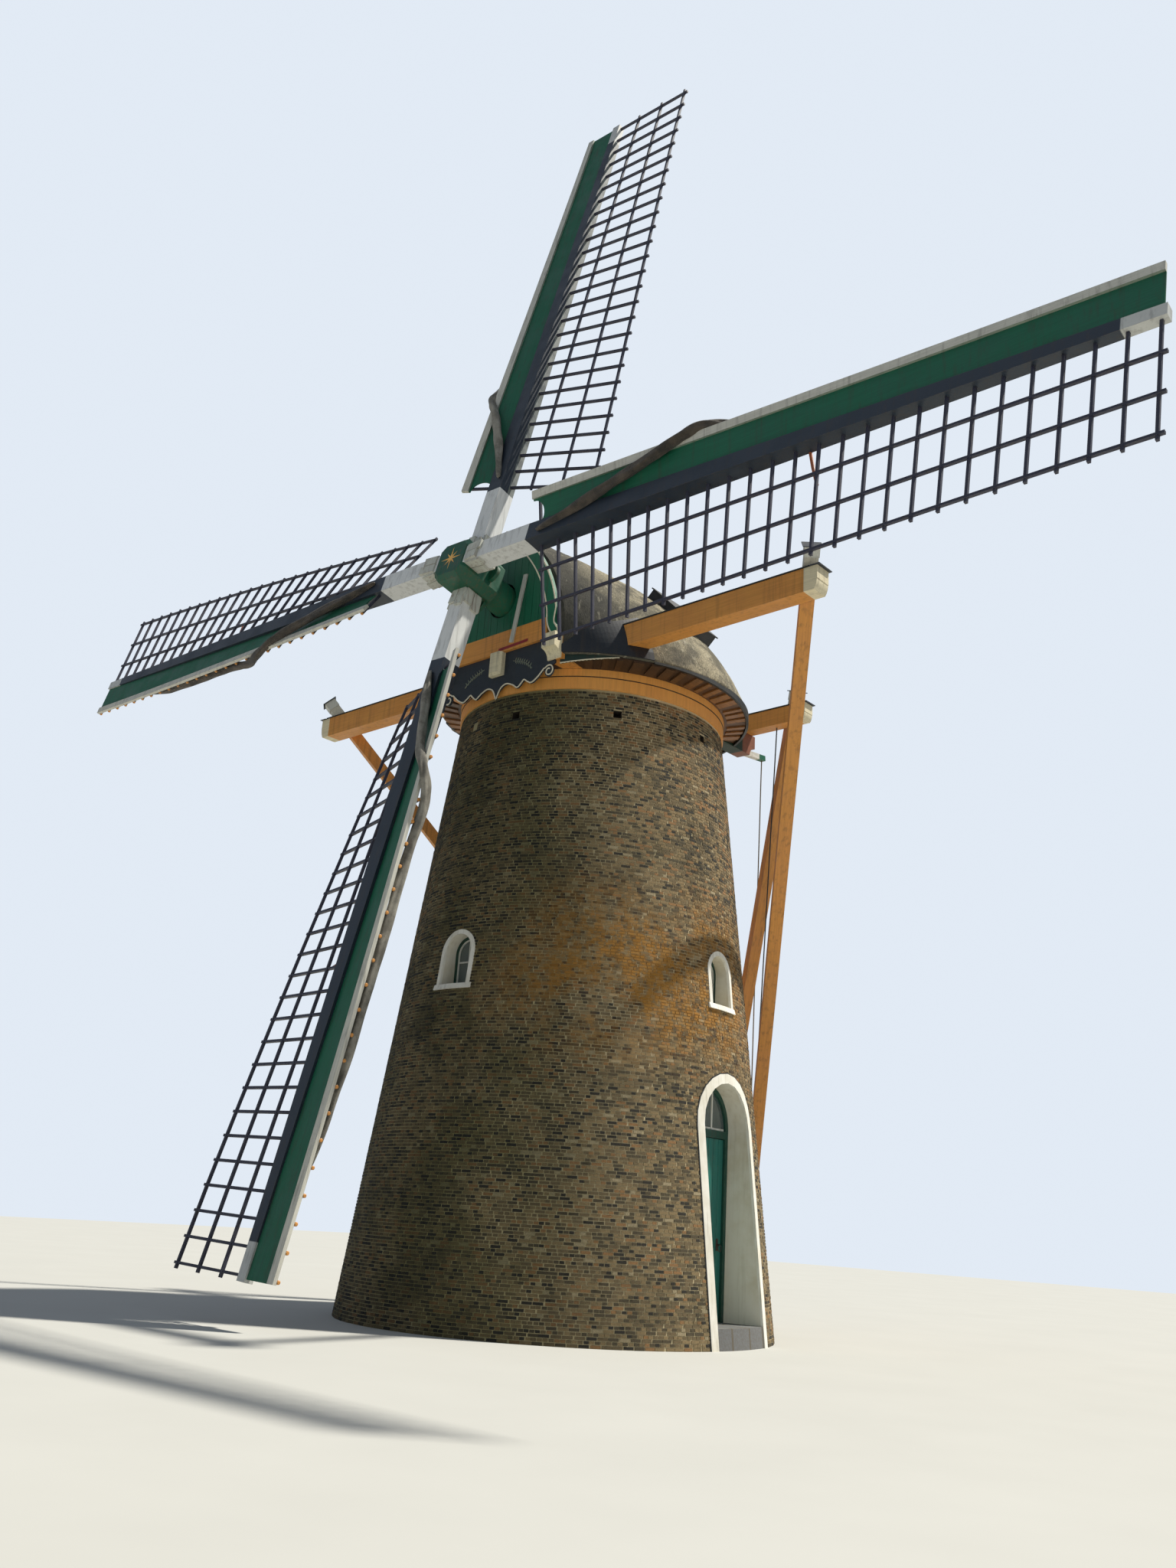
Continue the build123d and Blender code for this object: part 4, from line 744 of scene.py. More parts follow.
@functools.lru_cache(maxsize=None)
def strip_mesh(along, across):
    """A closed unit box cut into strips along X and across Y."""
    bm = bmesh.new()
    bmesh.ops.create_grid(bm, x_segments=along, y_segments=across, size=0.5)
    bmesh.ops.solidify(bm, geom=bm.faces[:], thickness=1.0)
    low = min(v.co.z for v in bm.verts)
    bmesh.ops.translate(bm, verts=bm.verts[:], vec=(0.5, 0.5, -low))
    mesh = bpy.data.meshes.new("strip")
    bm.to_mesh(mesh)
    bm.free()
    return mesh


def add_strip(bm, place, along=1, across=1):
    """Adds a box bent to a shape: place turns its three shares into a point, and is used at once."""
    known = len(bm.verts)
    bm.from_mesh(strip_mesh(along, across))
    bm.verts.ensure_lookup_table()
    for v in bm.verts[known:]:
        v.co = place(v.co.x, v.co.y, v.co.z)


def add_box(bm, low, high):
    """Adds a straight box between two corners."""
    add_strip(bm, lambda u, v, w: Vector((low[0] + (high[0] - low[0]) * u, low[1] + (high[1] - low[1]) * v,
                                          low[2] + (high[2] - low[2]) * w)))


def add_tube(bm, line, radius, sides):
    """Adds a closed tube along a line; radius is a number or a function of the share along it."""
    line = [Vector(p) for p in line]
    rings = []
    up = Vector((0.13, 0.31, 0.94))
    for i, centre in enumerate(line):
        ahead = (line[min(i + 1, len(line) - 1)] - line[max(i - 1, 0)]).normalized()
        side = up.cross(ahead).normalized()
        up = ahead.cross(side).normalized()
        size = radius(i / (len(line) - 1)) if callable(radius) else radius
        turn = Matrix((side, up, ahead)).transposed().to_4x4()
        last = i in (0, len(line) - 1)
        made = bmesh.ops.create_circle(bm, cap_ends=last, segments=sides, radius=size,
                                       matrix=Matrix.Translation(centre) @ turn)
        rings.append(made["verts"])
    for first, second in zip(rings, rings[1:]):
        for j in range(sides):
            k = (j + 1) % sides
            bm.faces.new((first[j], first[k], second[k], second[j]))


def joined(name, template, places, material, body, slot, tones):
    """Many copies of one small mesh as a single piece; places is an array of points for each copy."""
    faces = [[v.index for v in f.verts] for f in template.faces]
    count, size = places.shape[0], places.shape[1]
    corners = np.concatenate([np.array(f) for f in faces])
    loops = (np.arange(count)[:, None] * size + corners[None, :]).ravel()
    totals = np.tile([len(f) for f in faces], count)
    starts = np.concatenate([[0], np.cumsum(totals)[:-1]])
    mesh = bpy.data.meshes.new(name)
    mesh.vertices.add(count * size)
    mesh.vertices.foreach_set("co", places.astype(np.float32).ravel())
    mesh.loops.add(len(loops))
    mesh.loops.foreach_set("vertex_index", loops.astype(np.int32))
    mesh.polygons.add(len(totals))
    mesh.polygons.foreach_set("loop_start", starts.astype(np.int32))
    mesh.polygons.foreach_set("loop_total", totals.astype(np.int32))
    mesh.update(calc_edges=True)
    layer = mesh.attributes.new("tone", "FLOAT", "POINT")
    layer.data.foreach_set("value", np.repeat(tones, size).astype(np.float32))
    return mesh_piece(name, mesh, material, body, slot)


def smooth_line(points, steps):
    """A flowing line through points."""
    points = [Vector(p) for p in points]
    ends = [points[0] * 2 - points[1]] + points + [points[-1] * 2 - points[-2]]
    line = []
    for a, b, c, d in zip(ends, ends[1:], ends[2:], ends[3:]):
        for i in range(steps):
            t = i / steps
            line.append(0.5 * (2 * b + (c - a) * t + (2 * a - 5 * b + 4 * c - d) * t ** 2
                               + (3 * b - a - 3 * c + d) * t ** 3))
    line.append(points[-1])
    return line


# Tower

def wall_radius(z):
    """Outside radius of the tower at a height."""
    return FOOT_RADIUS - BATTER * z


def point_at(azimuth, across, z, distance):
    """A point at a distance from the tower's axis towards an azimuth, and across from there."""
    a = math.radians(azimuth)
    return Vector((math.sin(a) * distance + math.cos(a) * across,
                   -math.cos(a) * distance + math.sin(a) * across, z))


def round_wall(azimuth, across, z, out):
    """A point on the wall or out from it, measured across a bay from its middle."""
    return point_at(azimuth, across, z, math.sqrt((wall_radius(z) + out) ** 2 - across ** 2))


def add_bar(bm, azimuth, across, heights, depths):
    """Adds a straight bar in a bay, between its limits across, in height and from the axis."""
    limits = (across, heights, depths)
    add_strip(bm, lambda *shares: point_at(azimuth, *(low + (high - low) * share for (low, high), share
                                                      in zip(limits, shares))))


def arch_half(width, foot, top, z, grow):
    """Half the width of an arched opening at a height, or None outside it."""
    half = width / 2
    spring = top - half
    if z < foot - grow or z > top + grow:
        return None
    if z <= spring:
        return half + grow
    return math.sqrt(max(0.0, (half + grow) ** 2 - (z - spring) ** 2))


def arch_line(width, foot, top, share, grow):
    """A point on an arched outline with straight sides, from one foot round to the other."""
    half = width / 2 + grow
    side = top - width / 2 - foot
    length = 2 * side + math.pi * half
    run = share * length
    if run < side:
        return -half, foot + run
    if run > length - side:
        return half, foot + length - run
    angle = (run - side) / half
    return -half * math.cos(angle), foot + side + half * math.sin(angle)


def openings_at(z):
    """The stretches of a course that openings take: their azimuth and half width."""
    found = []
    for side, azimuth in BAYS.items():
        half = arch_half(WINDOW_WIDTH, WINDOW_SILL, WINDOW_SILL + WINDOW_HEIGHT, z, WINDOW_BAND - 0.01)
        if half:
            found.append((azimuth, half))
        if side in DOOR_BAYS:
            half = arch_half(DOORWAY_WIDTH, 0.0, DOORWAY_TOP, z, DOOR_BAND - 0.01)
            if half:
                found.append((azimuth, half))
    if abs(z - PUTLOG_Z) < PUTLOG_SIZE / 2:
        found += [(azimuth, PUTLOG_SIZE / 2) for azimuth in PUTLOGS]
    return found


def lay_courses():
    """Every brick as its azimuth, half width, height and tone, cut where openings are."""
    rng = np.random.default_rng(17)
    bricks = []
    for course in range(int(TOWER_HEIGHT / COURSE)):
        z = (course + 0.5) * COURSE
        radius = wall_radius(z)
        headers = course % 2
        pitch = (BRICK_LENGTH + JOINT) / (2 if headers else 1)
        count = round(2 * math.pi * radius / pitch)
        step = 360 / count
        start = 0.5 * step * ((course // 2) % 2) + (0.25 * step if headers else 0)
        centres = start + step * np.arange(count)
        centres = centres + rng.normal(0, 0.03 * step, count)
        half = np.full(count, step / 2 - math.degrees(JOINT / 2 / radius))
        low, high = centres - half, centres + half
        for azimuth, width in openings_at(z):
            reach = math.degrees(math.asin(min(1, width / radius)))
            middle = (low + high) / 2
            shift = (middle - azimuth + 180) % 360 - 180
            low_off, high_off = low - middle + shift, high - middle + shift
            inside = (high_off > -reach) & (low_off < reach)
            left = inside & (shift < 0)
            right = inside & (shift >= 0)
            high = np.where(left, middle + (np.minimum(high_off, -reach) - shift), high)
            low = np.where(right, middle + (np.maximum(low_off, reach) - shift), low)
        keep = (high - low) > 0.25 * step * 0.5
        middle, half = ((low + high) / 2)[keep], ((high - low) / 2)[keep]
        bricks.append(np.stack([middle, half, np.full(middle.size, z), rng.random(middle.size),
                                rng.normal(0, 0.0016, middle.size)], axis=1))
    return np.concatenate(bricks)


def make_bricks():
    """The brick face of the tower in four quarters."""
    bricks = lay_courses()
    template = bmesh.new()
    bmesh.ops.create_cube(template, size=2.0)
    unit = np.array([v.co[:] for v in template.verts])
    outer = unit[:, 2] > 0
    taper = np.where(outer, 0.93, 1.0)
    middle, half, z, tone, lean = bricks.T
    angle = np.radians(middle[:, None] + half[:, None] * unit[None, :, 0] * taper[None, :])
    rise = COURSE / 2 - JOINT / 2
    height = z[:, None] + rise * unit[None, :, 1] * np.where(outer, 0.88, 1.0)[None, :]
    depth = np.where(outer, BRICK_PROUD, -0.012)[None, :] + np.where(outer, 1, 0)[None, :] * lean[:, None]
    radius = FOOT_RADIUS - BATTER * height + depth
    points = np.stack([radius * np.sin(angle), -radius * np.cos(angle), height], axis=2)
    for i, name in enumerate(("front", "right", "rear", "left")):
        centre = 90 * i
        here = np.abs((middle - centre + 180) % 360 - 180) < 45
        joined(f"{name}_bricks", template, points[here], BRICK, "tower", "brick", tone[here])
    template.free()


def make_surrounds():
    """Plaster bands round the windows and doorways, and the sloping window sills."""
    bands = bmesh.new()
    for side, azimuth in BAYS.items():
        openings = [(WINDOW_WIDTH, WINDOW_SILL, WINDOW_SILL + WINDOW_HEIGHT, WINDOW_BAND)]
        if side in DOOR_BAYS:
            openings.append((DOORWAY_WIDTH, 0.0, DOORWAY_TOP, DOOR_BAND))
        for width, foot, top, band in openings:
            def place(u, v, w):
                across, z = arch_line(width, foot, top, u, -0.004 + v * band)
                return round_wall(azimuth, across, z, -0.03 + w * 0.048)
            add_strip(bands, place, 40, 3)

        def sill(u, v, w):
            across = (u - 0.5) * (WINDOW_WIDTH + 2 * WINDOW_BAND + 0.06)
            z = WINDOW_SILL - 0.07 + v * 0.085
            return round_wall(azimuth, across, z, -0.03 + w * (0.075 - 0.02 * v))
        add_strip(bands, sill, 10, 2)
    to_piece("plaster_surrounds", bands, PLASTER, "tower", "white_paint")


def make_black_lines():
    """The thin dark line round each doorway's band."""
    lines = bmesh.new()
    for side in DOOR_BAYS:
        def place(u, v, w):
            across, z = arch_line(DOORWAY_WIDTH, 0.0, DOORWAY_TOP, u, DOOR_BAND - 0.006 + v * 0.02)
            return round_wall(BAYS[side], across, z, -0.02 + w * 0.034)
        add_strip(lines, place, 40, 1)
    to_piece("doorway_lines", lines, DARK_PAINT, "tower", "blue_black_paint")


def make_sashes():
    """White sashes with an upright and a cross bar in each window, and the bars of the fanlights."""
    bars = bmesh.new()
    middle = WINDOW_SILL + WINDOW_HEIGHT / 2
    plane = wall_radius(middle) - WINDOW_REVEAL
    inner = WINDOW_WIDTH - 2 * WINDOW_FRAME
    foot, top = WINDOW_SILL + WINDOW_FRAME, WINDOW_SILL + WINDOW_HEIGHT - WINDOW_FRAME
    for azimuth in BAYS.values():
        def sash(u, v, w):
            across, z = arch_line(inner, foot, top, u, -v * 0.022)
            return point_at(azimuth, across, z, plane - 0.03 + w * 0.022)
        add_strip(bars, sash, 32, 1)
        for heights in ((middle - 0.013, middle + 0.013), (foot, foot + 0.03)):
            add_bar(bars, azimuth, (-inner / 2, inner / 2), heights, (plane - 0.032, plane - 0.008))
        add_bar(bars, azimuth, (-0.012, 0.012), (foot, top), (plane - 0.034, plane - 0.012))
    half = DOORWAY_WIDTH / 2 - DOOR_FRAME
    spring = DOORWAY_TOP - DOOR_FRAME - half
    depths = (DOOR_PLANE - 0.055, DOOR_PLANE - 0.025)
    for side in DOOR_BAYS:
        for x in (-half / 3, half / 3):
            heights = (TRANSOM_TOP, spring + math.sqrt(half ** 2 - x ** 2))
            add_bar(bars, BAYS[side], (x - 0.015, x + 0.015), heights, depths)
        add_bar(bars, BAYS[side], (0.03 - half, half - 0.03), (TRANSOM_TOP, TRANSOM_TOP + 0.035), depths)
    to_piece("window_bars", bars, SASH, "tower", "white_paint")


def make_door_boards():
    """Upright boards with gaps between them on each door, and an iron latch."""
    half = DOORWAY_WIDTH / 2 - DOOR_FRAME - 0.006
    count = 8
    pitch = 2 * half / count
    face = DOOR_PLANE - DOOR_FRAME_DEPTH + LEAF_THICKNESS
    for side, body in (("right", "door"), ("left", "tower")):
        boards = bmesh.new()
        azimuth = BAYS[side]
        for i in range(count):
            x0 = -half + pitch * i + 0.003
            x1 = -half + pitch * (i + 1) - 0.003
            add_strip(boards, lambda u, v, w: point_at(
                azimuth, x0 + (x1 - x0) * (0.5 + (u - 0.5) * (1 - 0.04 * w)),
                THRESHOLD + 0.015 + v * DOOR_BOARD_HEIGHT, face + w * 0.012))
        to_piece(f"{side}_door_boards", boards, FINISHES["right_door"], body, "teal_paint")
        latch = bmesh.new()
        add_bar(latch, azimuth, (half - 0.15, half - 0.09), (LATCH_HEIGHT - 0.09, LATCH_HEIGHT + 0.09),
                (face + 0.012, face + 0.018))
        knob = [point_at(azimuth, half - 0.12, LATCH_HEIGHT, face + out) for out in (0.02, 0.07)]
        add_tube(latch, knob, 0.012, 12)
        ring = [point_at(azimuth, half - 0.12 + 0.05 * math.sin(t), LATCH_HEIGHT - 0.05 + 0.05 * math.cos(t),
                         face + 0.065) for t in np.linspace(0.2, 2 * math.pi + 0.1, 24)]
        add_tube(latch, ring, 0.007, 8)
        to_piece(f"{side}_door_latch", latch, IRON, body, "blue_black_paint")


# Cap

def cap_reach(share, front, radius):
    """Half the cap's width, and its length to the front or the rear, at a share of its height."""
    half = radius * (1 - min(share, 1.0) ** SIDE_ROUNDNESS) ** (1 / SIDE_ROUNDNESS)
    length = 1 + FRONT_DRAWN_OUT * share if front else 1 - REAR_DRAWN_IN * share ** REAR_CURVE
    return half, radius * length


def cap_point(share, angle, proud):
    """A point proud of the cap: share runs from the eave to the ridge, angle round from the right."""
    half, length = cap_reach(share, math.sin(angle) < 0, EAVE_RADIUS + proud)
    return Vector((half * math.cos(angle), length * math.sin(angle), EAVE_Z + (RIDGE_HEIGHT + proud) * share))


def cap_height(x, y, inset):
    """Height over a point of a form set in from the cap's outside."""
    low, high = 0.0, 1.0
    for _ in range(30):
        share = (low + high) / 2
        half, length = cap_reach(share, y < 0, EAVE_RADIUS - inset)
        inside = (x / max(half, 1e-6)) ** 2 + (y / length) ** 2 < 1
        low, high = (share, high) if inside else (low, share)
    return EAVE_Z + (RIDGE_HEIGHT - inset) * low


def hatch_axes():
    """The hatch's own axes, from its middle: X along the eave, Y up the slope and Z outwards."""
    out = point_at(HATCH_AZIMUTH, 0, 0, 1)
    along = point_at(HATCH_AZIMUTH, 1, 0, 0)
    reach = cap_reach(HATCH_SHARE, False, EAVE_RADIUS)[0]
    drawn_in = reach - cap_reach(HATCH_SHARE + 0.02, False, EAVE_RADIUS)[0]
    outwards = (out * RIDGE_HEIGHT * 0.02 + Vector((0, 0, drawn_in))).normalized()
    axes = Matrix((along, outwards.cross(along), outwards)).transposed().to_4x4()
    return Matrix.Translation(out * reach + Vector((0, 0, EAVE_Z + RIDGE_HEIGHT * HATCH_SHARE))) @ axes


def cut_front(bm, y):
    """Cuts away what stands in front of a plane, and returns the edges of the cut."""
    cut = bmesh.ops.bisect_plane(bm, geom=bm.verts[:] + bm.edges[:] + bm.faces[:], plane_co=(0, y, 0),
                                 plane_no=(0, -1, 0), clear_outer=True)
    return [e for e in cut["geom_cut"] if isinstance(e, bmesh.types.BMEdge)]


def make_thatch():
    """The reed coat: it starts under the eave, turns up round its cut ends and runs to the ridge."""
    coat = bmesh.new()
    bmesh.ops.create_grid(coat, x_segments=420, y_segments=90, size=0.5)
    proud = 0.014
    turn_up = 0.08
    for v in coat.verts:
        angle = (v.co.x + 0.5) * 2 * math.pi
        t = v.co.y + 0.5
        if t < turn_up:
            reach = EAVE_RADIUS - THATCH + (THATCH + proud) * t / turn_up
            point = Vector((reach * math.cos(angle), reach * math.sin(angle), EAVE_Z - 0.012))
            point.z += noise.noise(Vector((angle * 40, t * 10, 0))) * 0.01
        else:
            share = math.sin((t - turn_up) / (1 - turn_up) * math.pi / 2)
            point = cap_point(share, angle, proud)
            out = Vector((math.cos(angle), math.sin(angle), share)).normalized()
            lumps = noise.fractal(point * 1.7, 1.0, 2.0, 4) * 0.02 + noise.noise(point * 14) * 0.006
            point += out * min(0.012, max(-0.01, lumps))
        v.co = point
    bmesh.ops.remove_doubles(coat, verts=coat.verts[:], dist=0.0005)
    cut_front(coat, CAP_FRONT)
    to_hatch = hatch_axes().inverted()
    reach = (HATCH_WIDTH / 2 - 0.03, HATCH_LENGTH / 2 - 0.03, 0.3)
    covered = [face for face in coat.faces
               if all(abs(c) < r for c, r in zip(to_hatch @ face.calc_center_median(), reach))]
    bmesh.ops.delete(coat, geom=covered, context="FACES")
    to_piece("thatch_coat", coat, REED, "cap", "thatch", smooth=True)


def make_soffit():
    """Thin dark brown boards under the eave, darkened partly as painted shade, above the turning ring, in
    place of the plain soffit.
    """
    soffit = bmesh.new()
    inner, outer = RING_RADIUS + 0.003, EAVE_RADIUS - 0.04
    corners = ((inner, 0, RING_TOP - 0.001), (outer, 0, EAVE_Z - 0.038), (outer, 0, EAVE_Z - 0.01),
               (inner, 0, RING_TOP + 0.03))
    profile = [soffit.verts.new(p) for p in corners]
    loop = [soffit.edges.new((profile[i], profile[(i + 1) % 4])) for i in range(4)]
    bmesh.ops.spin(soffit, geom=profile + loop, cent=(0, 0, 0), axis=(0, 0, 1), angle=2 * math.pi, steps=120,
                   use_merge=True)
    bmesh.ops.remove_doubles(soffit, verts=soffit.verts[:], dist=0.0002)
    bmesh.ops.holes_fill(soffit, edges=cut_front(soffit, CAP_FRONT + 0.021))
    made = to_piece("soffit_boards", soffit, FINISHES["eave_soffit"], "cap", "ochre_timber")
    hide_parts("eave_soffit")


def make_rafters():
    """Rafters of uneven width under the eave, left out at the front and beside the sheers."""
    rafters = bmesh.new()
    count = 60
    spread = random.Random(9)
    for i in range(count):
        azimuth = (i + spread.uniform(-0.2, 0.2)) * 360 / count + 3
        broad = spread.uniform(0.09, 0.2)
        middle = point_at(azimuth, 0, 0, 2.7)
        by_sheer = abs(abs(middle.x) - SHEER_SPACING) < 0.26 and abs(middle.y) > 1.89
        if middle.y < -2.268 or by_sheer:
            continue
        add_strip(rafters, lambda u, v, w: point_at(
            azimuth, (u - 0.5) * broad, RING_TOP - 0.022 + v * 0.054 + w * 0.032,
            RING_RADIUS + 0.06 + v * 0.34))
    worn = painted_wood("rafter timber", (142, 94, 44), (0, 1, 0), dirt=(44, 28, 14), wear=0.0, grain=0.9,
                        bands=eave_bands)
    to_piece("eave_rafters", rafters, worn, "cap", "ochre_timber")


APRON_TOP = [(-61, 0.03), (-55.7, 0.085), (-47.8, 0.19), (-38.8, 0.235), (-34.2, 0.262), (-28.2, 0.31)]


def make_apron():
    """Dark boards proud of the thatch beside the right edge board."""
    apron = bmesh.new()

    def place(u, v, w):
        degrees = APRON_TOP[0][0] + (APRON_TOP[-1][0] - APRON_TOP[0][0]) * u
        top = float(np.interp(degrees, [p[0] for p in APRON_TOP], [p[1] for p in APRON_TOP]))
        point = cap_point(max(0.001, top * v), math.radians(degrees), 0.012 + 0.028 * w)
        point.y = max(point.y, CAP_FRONT - 0.04)
        return point
    add_strip(apron, place, 24, 6)
    dark_boards = painted_wood("dark apron boards", (26, 32, 40), (1, 0, 0), (74, 80, 86), wear=0.3, grain=0.3)
    to_piece("dark_apron", apron, dark_boards, "cap", "blue_black_paint")


def make_fascia():
    """The dull green board below the dark ones, which runs out to the right, and its cream line."""
    fascia, line = bmesh.new(), bmesh.new()
    for bm, tall, out in ((fascia, None, 0.0), (line, 0.016, 0.004)):
        def board(u, v, w):
            a = math.radians(-60 + 20 * u)
            reach = EAVE_RADIUS - 0.07 + 0.03 * w + out
            low = FASCIA_FOOT + FASCIA_RISE * u
            high = low + tall if tall else EAVE_Z
            return Vector((reach * math.cos(a), max(reach * math.sin(a), CAP_FRONT), low + (high - low) * v))
        add_strip(bm, board, 16, 1)
    dull = painted_wood("dull green fascia", (24, 50, 42), (1, 0, 0), (70, 96, 84), wear=0.2)
    to_piece("eave_fascia", fascia, dull, "cap", "green_paint")
    to_piece("fascia_line", line, CREAM_PAINT, "cap", "white_paint")


def make_eave_band():
    """A dark band along the eave, narrow at the side and wider to the rear."""
    band = bmesh.new()

    def place(u, v, w):
        angle = math.radians(-28 + 236 * u)
        tall = 0.04 + 0.12 * min(1.0, max(0.0, math.sin(angle) + 0.35))
        reach = EAVE_RADIUS - 0.032 + 0.044 * w
        return Vector((reach * math.cos(angle), reach * math.sin(angle), EAVE_Z - 0.03 - tall * (0.4 - v)))
    add_strip(band, place, 150, 1)
    to_piece("eave_band", band, DARK_PAINT, "cap", "blue_black_paint")


def make_front_planks():
    """Upright green boards across the cap's front, with gaps between them and round the shaft's hole."""
    planks = bmesh.new()
    width = 0.17
    count = 15
    inset = THATCH / 2 + 0.01
    axis = HUB.z - (CAP_FRONT - FRONT_BOARD - HUB.y) * math.tan(SHAFT_TILT)
    foot = BEAM_TOP + 0.004
    for i in range(count):
        x0 = (i - count / 2) * width + 0.004
        x1 = x0 + width - 0.008
        if cap_height(max(abs(x0), abs(x1)), CAP_FRONT, inset) < foot + 0.05:
            continue
        for part in (1, 2) if min(abs(x0), abs(x1)) < SHAFT_HOLE else (0,):
            def place(u, v, w):
                x = x0 + (x1 - x0) * u
                hole = math.sqrt(max(0.0, SHAFT_HOLE ** 2 - x ** 2))
                head = cap_height(x, CAP_FRONT, inset)
                low, high = ((foot, head), (foot, axis - hole), (axis + hole, head))[part]
                return Vector((x, CAP_FRONT - FRONT_BOARD - 0.012 * w, low + (high - low) * v))
            add_strip(planks, place, 8, 1)
    to_piece("front_planks", planks, GREEN_UPRIGHT, "cap", "green_paint")


def gable_line():
    """The gable's outer edge on the right, from the top of its carved tail up to the ridge."""
    foot = (EDGE_TAIL_TOP - EAVE_Z) / RIDGE_HEIGHT
    points = []
    for i in range(33):
        share = foot + (1 - foot) * i / 32
        half, length = cap_reach(share, True, EAVE_RADIUS)
        across = half * math.sqrt(max(0.0, 1 - ((CAP_FRONT - FRONT_BOARD) / length) ** 2))
        points.append(Vector((across, 0, EAVE_Z + RIDGE_HEIGHT * share)))
    return points


def beside(line, distance):
    """A line set over to its left in the XZ plane."""
    moved = []
    for i, point in enumerate(line):
        ahead = (line[min(i + 1, len(line) - 1)] - line[max(i - 1, 0)]).normalized()
        moved.append(point + Vector((-ahead.z, 0, ahead.x)) * distance)
    return moved


def add_ribbon(bm, line, width, y, thick, mirrored):
    """A flat band along a line in the XZ plane, standing proud of a face towards the front."""
    left = beside(line, width / 2)
    right = beside(line, -width / 2)
    side = -1 if mirrored else 1

    def place(u, v, w):
        at = min(int(u * (len(line) - 1)), len(line) - 2)
        share = u * (len(line) - 1) - at
        edge = right[at].lerp(right[at + 1], share).lerp(left[at].lerp(left[at + 1], share), v)
        return Vector((side * edge.x, y - thick * w, edge.z))
    add_strip(bm, place, len(line) - 1, 1)


def make_edge_lines():
    """Cream lines along both edges of the edge boards, joined in the carved tails."""
    outer = gable_line()
    start, top, foot = outer[0].x, EDGE_TAIL_TOP, SHEER_TOP
    inner = beside(outer, EDGE_WIDTH)
    inner[-1] = Vector((0, 0, outer[-1].z - 1.3 * EDGE_WIDTH))
    carved = [(0, top), (-0.025, top - 0.24), (0.035, foot + 0.155), (0.08, foot + 0.08),
              (0.045, foot + 0.02), (-0.04, foot + 0.012), (-0.095, foot + 0.03), (-0.18, foot + 0.17),
              (-0.225, top - 0.19), (-EDGE_WIDTH, top)]
    tail = smooth_line([(start + x, 0, z) for x, z in carved], 6)
    route = outer[::-1] + tail[1:-1] + [p for p in inner if p.x > 0.02]
    for p in route:
        if p.z < BEAM_TOP:
            p.x = max(p.x, BEAM_HALF + 0.006)
    lines = bmesh.new()
    for mirrored in (False, True):
        add_ribbon(lines, beside(route, -0.016), 0.026, EDGE_FACE - 0.001, 0.006, mirrored)
    to_piece("edge_board_lines", lines, CREAM_PAINT, "cap", "white_paint")


BEARD_WAVES = [(0.0, 10.256), (0.095, 10.439), (0.23, 10.499), (0.39, 10.444), (0.51, 10.367), (0.60, 10.424),
               (0.665, 10.478), (0.76, 10.419), (0.85, 10.383), (0.985, 10.449), (1.13, 10.575)]
SCROLL = (1.25, 10.52)


def make_beard_trim():
    """The cream line that follows the beard's waves into a scroll at each end, with pale sprigs above."""
    line = bmesh.new()
    route = smooth_line([(x, 0, z + 0.012) for x, z in BEARD_WAVES], 6)
    for i in range(40):
        angle = math.radians(140 - 11.5 * i)
        reach = 0.112 - 0.0019 * i
        route.append(Vector((SCROLL[0] + reach * math.cos(angle), 0, SCROLL[1] + reach * math.sin(angle))))
    for mirrored in (False, True):
        add_ribbon(line, route, 0.024, BEARD_FACE, 0.008, mirrored)
    to_piece("beard_line", line, CREAM_PAINT, "cap", "white_paint")
    sprigs = bmesh.new()
    for side in (-1, 1):
        stem = smooth_line([(0.36, 10.92, 0), (0.52, 10.87, 0), (0.68, 10.80, 0), (0.84, 10.67, 0)], 6)
        route = [Vector((side * p.x, BEARD_FACE - 0.003, p.y)) for p in stem]
        add_tube(sprigs, route, 0.006, 6)
        for i in range(2, len(route) - 1, 2):
            for up in (-1, 1):
                tip = route[i] + Vector((side * 0.035, 0, up * 0.06))
                add_tube(sprigs, [route[i], (route[i] + tip) / 2, tip],
                         lambda t: 0.003 + 0.008 * math.sin(math.pi * min(0.99, t + 0.1)), 6)
    pale = painted_wood("sprig paint", (120, 130, 116), wear=0.4)
    to_piece("beard_sprigs", sprigs, pale, "cap", "white_paint")


def make_beam_trim():
    """Dark boards on top of the beams, and the red chamfer on the weather beam."""
    boards = bmesh.new()
    for name in ("long_beam", "short_beam"):
        low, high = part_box(name)
        short = 0.3 * (high.z - low.z) + 0.02
        add_box(boards, (low.x + short, low.y - 0.012, high.z + 0.001),
                (high.x - short, high.y + 0.012, high.z + 0.025))
    to_piece("beam_boards", boards, DARK_PAINT, "cap", "blue_black_paint")
    red = bmesh.new()
    add_strip(red, lambda u, v, w: Vector((0.02 + u * 0.72, BEAM_FACE - 0.002 + v * 0.03 - w * 0.002,
                                           SHEER_TOP + 0.03 + u * 0.02 + w * 0.055)), 6, 1)
    to_piece("red_chamfer", red, painted_wood("red chamfer paint", (138, 34, 38)), "cap", "white_paint")


# Sails

def arm_matrix(arm):
    """Places an arm's own axes: X along the stock, Y to the leading edge, Z forward."""
    turn, side = ARMS[arm]
    return (Matrix.Translation(HUB) @ SAIL_AXES @ Matrix.Translation((0, 0, side * STOCK_OFFSET))
            @ Matrix.Rotation(SAILS_TURNED + math.radians(turn), 4, "Z"))


def twist(r):
    """How far the sail's surface is turned at a radius."""
    share = max(0.0, (SAIL_RADIUS - r) / (SAIL_RADIUS - FIRST_BAR))
    return math.radians(TWIST_TIP + (TWIST_ROOT - TWIST_TIP) * share ** TWIST_CURVE)


